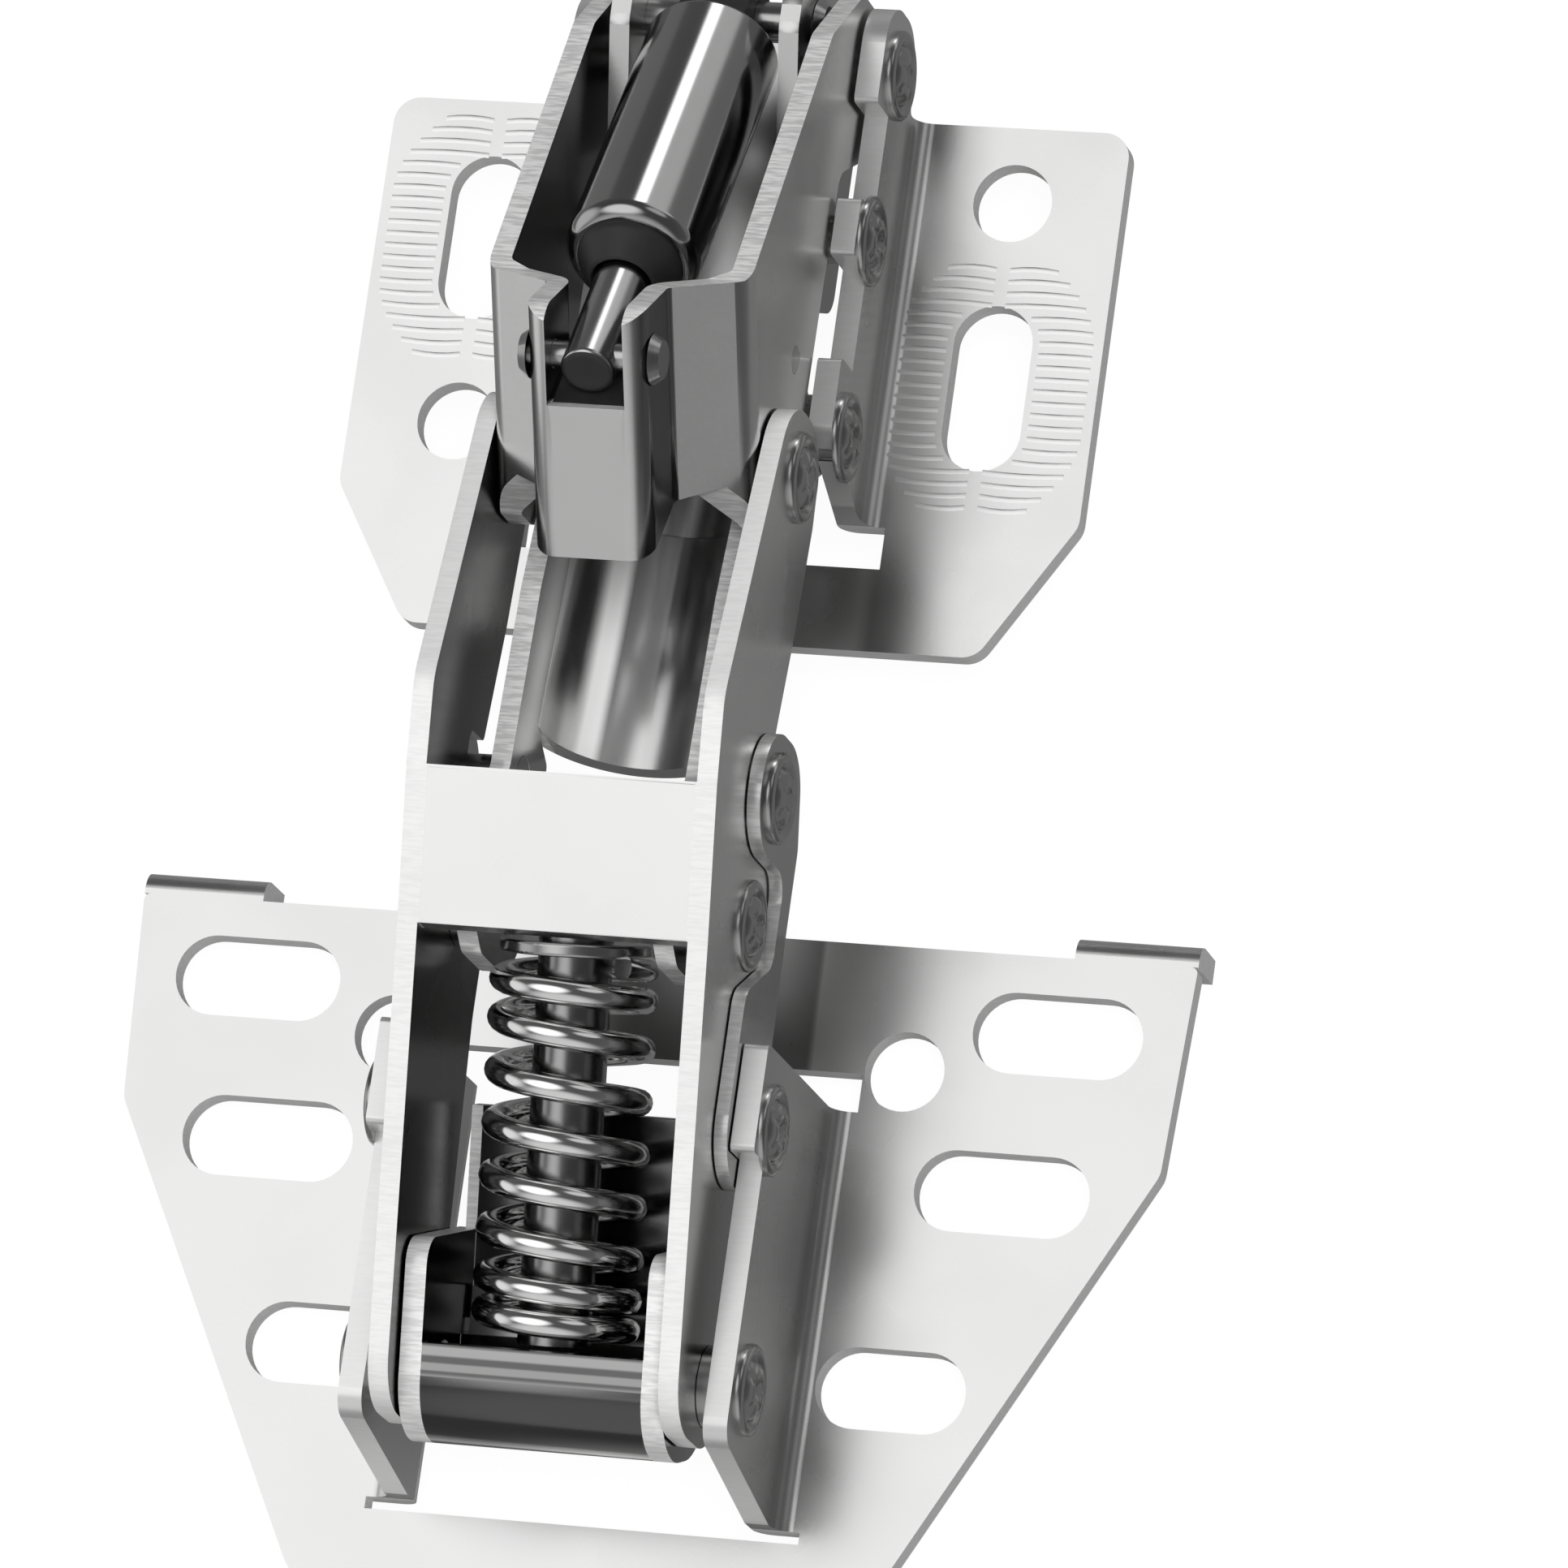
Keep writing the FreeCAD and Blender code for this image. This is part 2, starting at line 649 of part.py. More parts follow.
# Outer links: thin plates outside the main arm, necked to pass the elbow rivet's head
def build_outer_link(name, side):
    body = new_body(name)
    sketch = new_sketch(body, name + "_side", "YZ_Plane")
    bind(sketch, "AttachmentOffset.Base.z", side * (link_inner + link_sheet / 2))
    neck = elbow_z - head - relief
    add_outline(sketch, [
        (link_arm_y + lobe, link_arm_z + lobe, end_round),
        (link_arm_y + lobe, link_arm_z - lobe, end_round),
        (link_arm_y - corner, link_low_z, corner), (elbow_y, link_low_z, corner),
        (link_door_y - lobe, link_door_z - lobe, end_round),
        (link_door_y - lobe, link_door_z + lobe, end_round),
        (elbow_y - head - corner, link_door_z + lobe, corner), (elbow_y - corner, neck, corner),
        (link_arm_y - lobe, neck, corner), (link_arm_y - lobe, link_arm_z + lobe, end_round)])
    pad(body, sketch, link_sheet)
    side_holes(body, name + "_hole", [(link_arm_y, link_arm_z, hole)])
    return body


def raked(reach, drop):
    """Side-view point at a reach along the channel's rake and a drop below it."""
    angle = math.radians(channel_rake.value)
    cosine = Size(math.cos(angle), "cos(%s * 1 deg)" % channel_rake.text)
    sine = Size(math.sin(angle), "sin(%s * 1 deg)" % channel_rake.text)
    return (reach * cosine - drop * sine, reach * sine + drop * cosine)


# Damper channel: a strip folded in plan like a hairpin, trimmed to its side outline
def build_damper_channel():
    strip = new_body("channel_strip")
    sketch = new_sketch(strip, "channel_plan", "XY_Plane")
    rear = -2 * lobe
    inner = channel_half - channel_sheet
    neck_inner = neck_half - channel_sheet
    reach = shoulder_reach + shoulder_slant
    add_outline(sketch, [
        (channel_half, rear), (channel_half, shoulder_reach, nose_corner),
        (neck_half, reach, relief), (neck_half, nose_reach, nose_corner),
        (-neck_half, nose_reach, nose_corner), (-neck_half, reach, relief),
        (-channel_half, shoulder_reach, nose_corner), (-channel_half, rear),
        (-inner, rear), (-inner, shoulder_reach - channel_sheet / 2, relief),
        (-neck_inner, reach - channel_sheet / 2, nose_corner), (-neck_inner, nose_reach - channel_sheet),
        (neck_inner, nose_reach - channel_sheet), (neck_inner, reach - channel_sheet / 2, nose_corner),
        (inner, shoulder_reach - channel_sheet / 2, relief), (inner, rear)])
    pad(strip, sketch, 4 * nose_reach)
    strip.Placement = FreeCAD.Placement(FreeCAD.Vector(0, 0, 0),
                                        FreeCAD.Rotation(FreeCAD.Vector(1, 0, 0), 1))
    bind(strip, "Placement.Rotation.Angle", channel_rake, "deg")
    face = nose_reach + relief
    side = side_body("channel_side", [
        (channel_rear_y, channel_rear_z, corner),
        (channel_pivot_y + lobe, channel_pivot_z + lobe, corner),
        (channel_pivot_y + lobe, channel_pivot_z - lobe, end_round),
        (channel_pivot_y - lobe, channel_pivot_z - lobe, end_round),
        (channel_pivot_y - 2 * lobe, bracket_rivet_z + shank + 2 * relief, corner),
        (arm_pivot_y, arm_pivot_z + bush + 2 * relief),
        (coupler_y - lobe, coupler_z - lobe, lobe), (coupler_y - lobe, coupler_z + corner, corner),
        raked(neck_root, neck_drop), raked(face, nose_drop) + (relief,),
        raked(face, -ear_rise) + (ear_round,), raked(shoulder_reach, -ear_rise)], 4 * channel_half)
    web_back = nose_reach - channel_sheet - relief
    side_cut(side, "channel_web", [
        raked(web_back, -web_rise), raked(face + relief, -web_rise),
        raked(face + relief, -ear_rise - relief), raked(web_back, -ear_rise - relief)], 2 * neck_inner)
    side_holes(side, "channel_pivots", [
        (channel_pivot_y, channel_pivot_z, hole), (damper_front_y, damper_front_z, small_pin + running_gap),
        (side_rivet_y, side_rivet_z, small_pin + running_gap)])
    channel = document.addObject("Part::MultiCommon", "damper_channel")
    channel.Shapes = [strip, side]
    return channel


# Damper bracket: a small clevis inside the channel, held by two rivets a side
def build_damper_bracket():
    reach = damper_rear_y + lobe - bracket_sheet / 2
    tall = damper_rear_z + lobe + relief
    front = bracket_rivet_y - shank - bracket_sheet
    body = side_body("damper_bracket", [
        (reach, tall, lobe - relief), (damper_rear_y - corner, tall, corner),
        (bracket_rivet_y + corner, bracket_rivet_z + lobe, corner),
        (front, bracket_rivet_z + shank, corner),
        (front, relief, corner), (reach, relief, corner)], 2 * bracket_half)
    side_cut(body, "bracket_middle", [
        (front - lobe, relief + bracket_sheet), (reach + lobe, relief + bracket_sheet),
        (reach + lobe, 2 * tall), (front - lobe, 2 * tall)], 2 * (bracket_half - bracket_sheet))
    side_holes(body, "bracket_pivots", [
        (channel_pivot_y, channel_pivot_z, hole), (bracket_rivet_y, bracket_rivet_z, hole),
        (damper_rear_y, damper_rear_z, rear_pin + running_gap)])
    return body


damper_run = damper_front_y - damper_rear_y
damper_rise = damper_front_z - damper_rear_z
damper_length = root(damper_run * damper_run + damper_rise * damper_rise)


def turned(name, corners):
    """A body turned about its own Z from an outline of (radius, height) corners."""
    body = new_body(name)
    sketch = new_sketch(body, name + "_half", "YZ_Plane")
    add_outline(sketch, corners)
    feature = body.newObject("PartDesign::Revolution", name + "_turn")
    feature.Profile = sketch
    feature.ReferenceAxis = (sketch, ["V_Axis"])
    feature.Angle = 360
    document.recompute()
    return body


def on_damper_axis(thing):
    lean(thing, damper_rear_y, damper_rear_z, damper_front_y, damper_front_z, 90)
    return thing


def build_damper():
    front = damper_length - tube_front_gap
    bore = tube_radius - tube_wall
    mouth = rod_radius + rod_play
    lip = mouth + tube_wall
    on_damper_axis(turned("damper_tube", [
        (bore, tube_rear), (tube_radius, tube_rear, relief), (tube_radius, front, tube_wall),
        (lip, front + tube_nose), (lip, front - tube_wall), (bore, front - tube_wall)]))
    sealing = lip - running_gap
    on_damper_axis(turned("damper_gland", [
        (mouth, front - tube_radius), (sealing, front - tube_radius), (sealing, front + tube_nose),
        (mouth + running_gap, front + tube_nose + gland_nose), (mouth, front + tube_nose + gland_nose)]))
    rod = new_body("damper_rod")
    sketch = new_sketch(rod, "damper_rod_side", "XY_Plane")
    add_circle(sketch, 0, 0, rod_radius)
    bind(sketch, "AttachmentOffset.Base.z", damper_length / 2 - tube_radius)
    pad(rod, sketch, damper_length / 2 + tube_radius + rod_radius - 2 * running_gap, both_ways=False)
    cross = new_sketch(rod, "damper_rod_hole", "YZ_Plane")
    add_circle(cross, 0, damper_length, small_pin + running_gap)
    pocket(rod, cross)
    on_damper_axis(rod)
    on_damper_axis(turned("damper_piston", [
        (rod_radius + running_gap, damper_length / 2 - tube_radius),
        (piston_radius, damper_length / 2 - tube_radius, relief / 2),
        (piston_radius, damper_length / 2 - tube_radius + 2 * rod_radius, relief / 2),
        (rod_radius + running_gap, damper_length / 2 - tube_radius + 2 * rod_radius)]))
    plug = new_body("damper_end_plug")
    sketch = new_sketch(plug, "damper_plug_round", "XY_Plane")
    bind(sketch, "AttachmentOffset.Base.z", tube_rear)
    add_circle(sketch, 0, 0, bore - running_gap)
    pad(plug, sketch, tube_radius, both_ways=False)
    tongue = new_sketch(plug, "damper_tongue", "YZ_Plane")
    add_outline(tongue, [
        (tongue_reach, -tongue_reach, tongue_reach - relief), (tongue_reach, tube_rear + tube_wall),
        (-tongue_reach, tube_rear + tube_wall), (-tongue_reach, -tongue_reach, tongue_reach - relief)])
    pad(plug, tongue, 2 * tongue_half)
    cross = new_sketch(plug, "damper_plug_hole", "YZ_Plane")
    add_circle(cross, 0, 0, rear_pin + running_gap)
    pocket(plug, cross)
    on_damper_axis(plug)


spring_run = spring_pin_y - door_pivot_y
spring_rise = spring_pin_z - door_pivot_z
spring_length = root(spring_run * spring_run + spring_rise * spring_rise)
collar_end = spring_length - collar_offset


def on_spring_axis(thing):
    lean(thing, door_pivot_y, door_pivot_z, spring_pin_y, spring_pin_z, 90)
    return thing


def build_spring_unit():
    yoke = side_body("spring_yoke", [
        (-yoke_nose, -yoke_nose, yoke_nose - relief), (yoke_ear, -yoke_shelf, relief),
        (yoke_ear, yoke_ear_half, corner), (-yoke_nose, yoke_nose, yoke_nose - relief)], 2 * yoke_half)
    inside = yoke_nose - yoke_sheet
    side_cut(yoke, "yoke_middle", [
        (-inside, -inside, inside - relief), (yoke_web, -inside), (yoke_web, -2 * yoke_nose),
        (2 * yoke_ear, -2 * yoke_nose), (2 * yoke_ear, 2 * yoke_nose), (yoke_web, 2 * yoke_nose),
        (yoke_web, inside), (-inside, inside, inside - relief)], 2 * (yoke_half - yoke_sheet))
    shelf = new_sketch(yoke, "yoke_shelf_side", "YZ_Plane")
    add_outline(shelf, [
        (shelf_start, -yoke_shelf), (shelf_end, -yoke_shelf), (shelf_end, yoke_sheet - yoke_shelf),
        (shelf_start, yoke_sheet - yoke_shelf)])
    pad(yoke, shelf, 2 * yoke_half - yoke_sheet)
    side_holes(yoke, "yoke_hole", [(0, 0, hole)])
    lean(yoke, door_pivot_y, door_pivot_z, spring_pin_y, spring_pin_z, 0)
    collar_start = collar_end - collar_thickness
    on_spring_axis(turned("spring_collar", [
        (guide_radius + running_gap, collar_start), (collar_radius, collar_start, relief / 2),
        (collar_radius, collar_end, relief / 2), (guide_radius + running_gap, collar_end)]))
    rod = new_body("spring_rod")
    sketch = new_sketch(rod, "spring_rod_round", "XY_Plane")
    add_circle(sketch, 0, 0, guide_radius)
    rod_start = shank + rod_gap
    bind(sketch, "AttachmentOffset.Base.z", rod_start)
    pad(rod, sketch, spring_length - rod_start - shank, both_ways=False)
    eye = new_sketch(rod, "spring_rod_eye", "YZ_Plane")
    add_circle(eye, 0, spring_length, eye_radius)
    pad(rod, eye, 2 * eye_half)
    cross = new_sketch(rod, "spring_rod_hole", "YZ_Plane")
    add_circle(cross, 0, spring_length, hole)
    pocket(rod, cross)
    on_spring_axis(rod)
    start = yoke_web + wire_radius + running_gap
    height = collar_start - wire_radius - running_gap - start
    helix = document.addObject("Part::Helix", "spring_path")
    helix.Angle = 0
    helix.LocalCoord = "Left-handed"
    bind(helix, "Pitch", coil_pitch)
    bind(helix, "Height", height)
    bind(helix, "Radius", coil_radius - wire_radius)
    bind(helix, "Placement.Base.z", start)
    wire = document.addObject("Part::Circle", "spring_wire")
    bind(wire, "Radius", wire_radius)
    wire.Placement = FreeCAD.Placement(FreeCAD.Vector(0, 0, 0),
                                       FreeCAD.Rotation(FreeCAD.Vector(1, 0, 0), 90))
    bind(wire, "Placement.Base.x", coil_radius - wire_radius)
    bind(wire, "Placement.Base.z", start)
    document.recompute()
    spring = document.addObject("Part::Sweep", "spring")
    spring.Sections = [wire]
    spring.Spine = (helix, ["Edge%d" % (index + 1) for index in range(len(helix.Shape.Edges))])
    spring.Solid = True
    spring.Frenet = True
    on_spring_axis(spring)


def drum(name, radius, near, far, y, z, side, top=None):
    """A cylinder, or a cone where a top radius is given, along X from near to far."""
    near = as_size(near)
    far = as_size(far)
    thing = document.addObject("Part::Cone" if top is not None else "Part::Cylinder", name)
    if top is None:
        bind(thing, "Radius", radius)
    else:
        bind(thing, "Radius1", radius)
        bind(thing, "Radius2", top)
    bind(thing, "Height", far - near)
    thing.Placement = FreeCAD.Placement(FreeCAD.Vector(0, 0, 0),
                                        FreeCAD.Rotation(FreeCAD.Vector(0, 1, 0), 90 * side))
    bind(thing, "Placement.Base.x", side * near)
    bind(thing, "Placement.Base.y", y)
    bind(thing, "Placement.Base.z", z)
    return thing


def riveted_head(name, y, z, face, side):
    """A low domed head with a dimple, standing on the face at X = face."""
    rim = drum(name + "_rim", head, face, face + head_rim, y, z, side)
    dome = drum(name + "_dome", head, face + head_rim, face + head_rim + head_dome, y, z, side, head_flat)
    solid = document.addObject("Part::MultiFuse", name + "_solid")
    solid.Shapes = [rim, dome]
    recess = drum(name + "_recess", dimple / 2, face + head_rim, face + head_rim + head_dome,
                  y, z, side, dimple)
    cut = document.addObject("Part::Cut", name + "_head")
    cut.Base = solid
    cut.Tool = recess
    return cut


def rivet_pair(name, y, z, near, face):
    """Two rivets, one a side, from X = near out to a head on the face at X = face."""
    sides = []
    for side, word in ((1, "right"), (-1, "left")):
        shaft = drum("%s_%s_shank" % (name, word), shank, near, face + head_rim, y, z, side)
        top = riveted_head("%s_%s" % (name, word), y, z, face, side)
        rivet = document.addObject("Part::MultiFuse", "%s_%s_rivet" % (name, word))
        rivet.Shapes = [shaft, top]
        sides.append(rivet)
    pair = document.addObject("Part::Compound", name)
    pair.Links = sides
    return pair


def bush_pair(name, y, z, near, far):
    sides = []
    for side, word in ((1, "right"), (-1, "left")):
        outside = drum("%s_%s_outside" % (name, word), bush, near + running_gap, far - running_gap,
                       y, z, side)
        inside = drum("%s_%s_inside" % (name, word), hole, near, far, y, z, side)
        ring = document.addObject("Part::Cut", "%s_%s_ring" % (name, word))
        ring.Base = outside
        ring.Tool = inside
        sides.append(ring)
    pair = document.addObject("Part::Compound", name)
    pair.Links = sides
    return pair


def stud_pair(name, radius, near, far, y, z):
    """Two plain round studs, one a side, from X = near to X = far."""
    pair = document.addObject("Part::Compound", name)
    pair.Links = [drum("%s_%s" % (name, word), radius, near, far, y, z, side)
                  for side, word in ((1, "right"), (-1, "left"))]
    return pair


def small_pin_through(name, y, z, radius, half):
    """A pin right across, with a flat head outside X = half on both sides."""
    pieces = [drum(name + "_shaft", radius, -half - running_gap, half + running_gap, y, z, 1)]
    for side, word in ((1, "right"), (-1, "left")):
        pieces.append(drum("%s_%s" % (name, word), small_head, half + running_gap,
                           half + running_gap + small_head_height, y, z, side, small_head - relief))
    pin = document.addObject("Part::MultiFuse", name)
    pin.Shapes = pieces
    return pin


def build_fasteners():
    ear = bracket_half - bracket_sheet
    arm_inner = arm_half - arm_sheet
    rivet_pair("channel_pivot_rivets", channel_pivot_y, channel_pivot_z, ear, cabinet_half)
    rivet_pair("bracket_rivets", bracket_rivet_y, bracket_rivet_z, ear, cabinet_half)
    rivet_pair("arm_pivot_rivets", arm_pivot_y, arm_pivot_z, arm_inner, cabinet_half)
    rivet_pair("coupler_rivets", coupler_y, coupler_z, main_inner, main_half)
    rivet_pair("elbow_rivets", elbow_y, elbow_z, arm_inner, main_half)
    rivet_pair("link_arm_rivets", link_arm_y, link_arm_z, link_inner, link_half)
    stud_pair("link_arm_studs", shank, arm_inner, main_half - slide_gap, link_arm_y, link_arm_z)
    stud_pair("spring_pin_ends", shank, arm_inner, arm_half, spring_pin_y, spring_pin_z)
    stud_pair("channel_side_rivets", small_pin, channel_half - channel_sheet, channel_half,
              side_rivet_y, side_rivet_z)
    rivet_pair("link_door_rivets", link_door_y, link_door_z, door_inner, door_half)
    bush_pair("arm_pivot_bushes", arm_pivot_y, arm_pivot_z, arm_half, cabinet_inner)
    bush_pair("elbow_bushes", elbow_y, elbow_z, arm_half, main_inner)
    bush_pair("door_pivot_washers", door_pivot_y, door_pivot_z, main_half, door_inner)
    axle = [drum("door_axle_shaft", shank, -door_half, door_half, door_pivot_y, door_pivot_z, 1)]
    for side, word in ((1, "right"), (-1, "left")):
        axle.append(riveted_head("door_axle_" + word, door_pivot_y, door_pivot_z, door_half, side))
    whole = document.addObject("Part::MultiFuse", "door_pivot_axle")
    whole.Shapes = axle
    pin_half = arm_inner - slide_gap
    drum("spring_cross_pin", shank, -pin_half, pin_half, spring_pin_y, spring_pin_z, 1)
    small_pin_through("damper_front_pin", damper_front_y, damper_front_z, small_pin, neck_half)
    small_pin_through("damper_rear_pin", damper_rear_y, damper_rear_z, rear_pin, bracket_half)


build_cabinet_plate()
build_door_plate()
build_main_arm()
build_inner_arm()
build_outer_link("outer_link_right", 1)
build_outer_link("outer_link_left", -1)
build_damper_channel()
build_damper_bracket()
build_damper()
build_spring_unit()
build_fasteners()
document.recompute()

NODES = [
    "cabinet_plate", "door_plate", "main_arm", "inner_arm", "outer_link_right", "outer_link_left",
    "damper_channel", "damper_bracket", "damper_tube", "damper_gland", "damper_rod", "damper_piston",
    "damper_end_plug", "damper_front_pin", "damper_rear_pin", "spring_yoke", "spring_collar",
    "spring_rod", "spring", "spring_cross_pin", "spring_pin_ends", "link_arm_studs", "channel_pivot_rivets",
    "bracket_rivets", "arm_pivot_rivets", "coupler_rivets", "elbow_rivets", "link_arm_rivets",
    "link_door_rivets", "door_pivot_axle", "arm_pivot_bushes", "elbow_bushes", "door_pivot_washers",
    "channel_side_rivets"]

for thing in document.Objects:
    if "Invalid" in thing.State or "Error" in thing.State:
        raise RuntimeError("failed object: " + thing.Name)
for name in NODES:
    shape = document.getObject(name).Shape
    if shape.isNull() or not shape.isValid() or not shape.Solids:
        raise RuntimeError("no valid solid in " + name)

os.makedirs("parts", exist_ok=True)
for name in NODES:
    document.getObject(name).Shape.exportStep("parts/%s.step" % name)
    print(name, len(document.getObject(name).Shape.Solids), round(document.getObject(name).Shape.Volume, 2))
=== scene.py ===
import math

import bpy
from mathutils import Matrix, Vector


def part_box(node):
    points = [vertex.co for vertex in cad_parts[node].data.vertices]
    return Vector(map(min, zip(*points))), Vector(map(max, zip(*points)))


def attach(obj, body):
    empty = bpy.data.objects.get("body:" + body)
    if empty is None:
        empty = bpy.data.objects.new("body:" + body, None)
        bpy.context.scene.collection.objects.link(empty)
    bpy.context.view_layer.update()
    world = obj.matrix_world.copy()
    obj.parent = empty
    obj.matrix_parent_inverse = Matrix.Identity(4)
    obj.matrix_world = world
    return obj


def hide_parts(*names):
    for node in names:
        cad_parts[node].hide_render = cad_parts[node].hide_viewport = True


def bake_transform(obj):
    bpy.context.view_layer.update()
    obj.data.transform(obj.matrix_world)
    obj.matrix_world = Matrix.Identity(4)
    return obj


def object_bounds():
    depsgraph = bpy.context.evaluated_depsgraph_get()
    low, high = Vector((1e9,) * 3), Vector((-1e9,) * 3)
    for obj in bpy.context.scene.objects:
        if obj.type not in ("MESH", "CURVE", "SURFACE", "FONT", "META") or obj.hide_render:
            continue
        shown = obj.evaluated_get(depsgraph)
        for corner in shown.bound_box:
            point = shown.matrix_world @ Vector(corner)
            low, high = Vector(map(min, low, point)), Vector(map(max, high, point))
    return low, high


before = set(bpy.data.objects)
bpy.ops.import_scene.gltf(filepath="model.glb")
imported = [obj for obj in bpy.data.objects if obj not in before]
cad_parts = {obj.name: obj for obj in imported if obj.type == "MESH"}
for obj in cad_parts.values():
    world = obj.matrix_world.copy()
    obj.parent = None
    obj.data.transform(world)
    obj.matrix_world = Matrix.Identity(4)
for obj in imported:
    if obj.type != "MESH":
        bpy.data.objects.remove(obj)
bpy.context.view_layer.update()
MM = 0.001

# The camera stands where the photograph was taken from, with a long lens
CAMERA_PLACE = Vector((0.2533, -0.26075, 0.84166))
CAMERA_BACK = Vector((0.270564, -0.249006, 0.929941))
CAMERA_UP = Vector((-0.064896, 0.959055, 0.275683))
LENS_MM = 283.0
SENSOR_MM = 36.0

# The floor lies just under the lips of the door plate
FLOOR_GAP = 0.2 * MM
FLOOR_SIZE = 3.0


def link(thing):
    bpy.context.scene.collection.objects.link(thing)
    return thing


def make_camera():
    data = bpy.data.cameras.new("camera")
    data.lens = LENS_MM
    data.sensor_width = SENSOR_MM
    data.clip_start = 0.01
    data.clip_end = 20
    camera = link(bpy.data.objects.new("camera", data))
    back = CAMERA_BACK.normalized()
    right = CAMERA_UP.cross(back).normalized()
    up = back.cross(right)
    turn = Matrix((right, up, back)).transposed().to_4x4()
    camera.matrix_world = Matrix.Translation(CAMERA_PLACE) @ turn
    bpy.context.scene.camera = camera


class Nodes:
    """A short way to wire shader nodes."""

    def __init__(self, tree):
        self.tree = tree
        tree.nodes.clear()

    def add(self, kind, **settings):
        node = self.tree.nodes.new(kind)
        for name, value in settings.items():
            setattr(node, name, value)
        return node

    def join(self, source, target):
        self.tree.links.new(source, target)

    def put(self, socket, value):
        if isinstance(value, bpy.types.NodeSocket):
            self.join(value, socket)
        else:
            socket.default_value = value

    def maths(self, operation, first, second=0.0, clamp=False):
        node = self.add("ShaderNodeMath", operation=operation, use_clamp=clamp)
        self.put(node.inputs[0], first)
        self.put(node.inputs[1], second)
        return node.outputs[0]

    def dot(self, vector, direction):
        node = self.add("ShaderNodeVectorMath", operation="DOT_PRODUCT")
        self.join(vector, node.inputs[0])
        node.inputs[1].default_value = direction
        return node.outputs["Value"]

    def step(self, value, low, high, to_low=0.0, to_high=1.0):
        node = self.add("ShaderNodeMapRange", interpolation_type="SMOOTHSTEP")
        self.put(node.inputs["Value"], value)
        node.inputs["From Min"].default_value = low
        node.inputs["From Max"].default_value = high
        node.inputs["To Min"].default_value = to_low
        node.inputs["To Max"].default_value = to_high
        return node.outputs["Result"]

    def normal(self):
        """The face's direction in the piece's own axes, so that it moves with the piece."""
        return self.add("ShaderNodeTexCoord").outputs["Normal"]

    def noise(self, vector, scale, detail=2.0, roughness=0.5):
        node = self.add("ShaderNodeTexNoise")
        self.join(vector, node.inputs["Vector"])
        node.inputs["Scale"].default_value = scale
        node.inputs["Detail"].default_value = detail
        node.inputs["Roughness"].default_value = roughness
        return node.outputs["Fac"]

    def stretched(self, vector, scale):
        node = self.add("ShaderNodeMapping")
        self.join(vector, node.inputs["Vector"])
        node.inputs["Scale"].default_value = scale
        return node.outputs["Vector"]

    def colours(self, factor, first, second):
        node = self.add("ShaderNodeMix", data_type="RGBA")
        self.put(node.inputs["Factor"], factor)
        self.put(node.inputs["A"], first)
        self.put(node.inputs["B"], second)
        return node.outputs["Result"]

    def bump(self, height, strength, distance):
        node = self.add("ShaderNodeBump")
        self.join(height, node.inputs["Height"])
        node.inputs["Strength"].default_value = strength
        node.inputs["Distance"].default_value = distance
        return node.outputs["Normal"]


def grey(level):
    return (level, level, level * 0.995, 1.0)


# Studio that the metal mirrors: soft boxes in a dark surround. The camera itself sees only white
SOFT_BOXES = {
    # aim, cosine where it starts, cosine where it is full, strength
    "above": ((-0.30, 0.00, 0.95), 0.84, 0.955, 1.03),
    "front": ((-0.08, -0.88, 0.42), 0.62, 0.97, 0.50),
    "left": ((-0.95, -0.10, 0.20), 0.80, 0.96, 0.62),
    "strip": ((0.04, 0.97, 0.20), 0.989, 0.9985, 3.0),
    "rear": ((0.42, 0.90, 0.10), 0.89, 0.97, 0.55),
    "right": ((0.55, 0.50, 0.67), 0.95, 0.98, 0.45),
}
SURROUND_LOW = 0.12
SURROUND_HIGH = 0.08
FLOOR_GREY = 0.12
FLOOR_WHITE = 0.95
LAMP_AIM = (0.30, -0.15, 0.92)
LAMP_STRENGTH = 2.0
FLOOR_MATT = 0.08


def make_world():
    world = bpy.data.worlds.new("studio")
    world.use_nodes = True
    bpy.context.scene.world = world
    n = Nodes(world.node_tree)
    direction = n.add("ShaderNodeTexCoord").outputs["Generated"]
    level = n.step(n.dot(direction, (0, 0, 1)), -0.2, 0.6, SURROUND_LOW, SURROUND_HIGH)
    for aim, start, full, strength in SOFT_BOXES.values():
        box = n.step(n.dot(direction, Vector(aim).normalized()), start, full, 0.0, strength)
        level = n.maths("ADD", level, box)
    studio = n.add("ShaderNodeBackground")
    n.join(level, studio.inputs["Color"])
    white = n.add("ShaderNodeBackground")
    white.inputs["Color"].default_value = (1, 1, 1, 1)
    path = n.add("ShaderNodeLightPath")
    mix = n.add("ShaderNodeMixShader")
    n.join(path.outputs["Is Camera Ray"], mix.inputs[0])
    n.join(studio.outputs[0], mix.inputs[1])
    n.join(white.outputs[0], mix.inputs[2])
    output = n.add("ShaderNodeOutputWorld")
    n.join(mix.outputs[0], output.inputs["Surface"])


def make_lamp():
    """Lights the matt raw edges and casts the shadow; the plating mirrors the studio instead."""
    data = bpy.data.lights.new("lamp", "SUN")
    data.energy = LAMP_STRENGTH
    data.angle = math.radians(25)
    lamp = link(bpy.data.objects.new("lamp", data))
    lamp.rotation_mode = "QUATERNION"
    lamp.rotation_quaternion = Vector(LAMP_AIM).to_track_quat("Z", "Y")
    lamp.visible_glossy = False


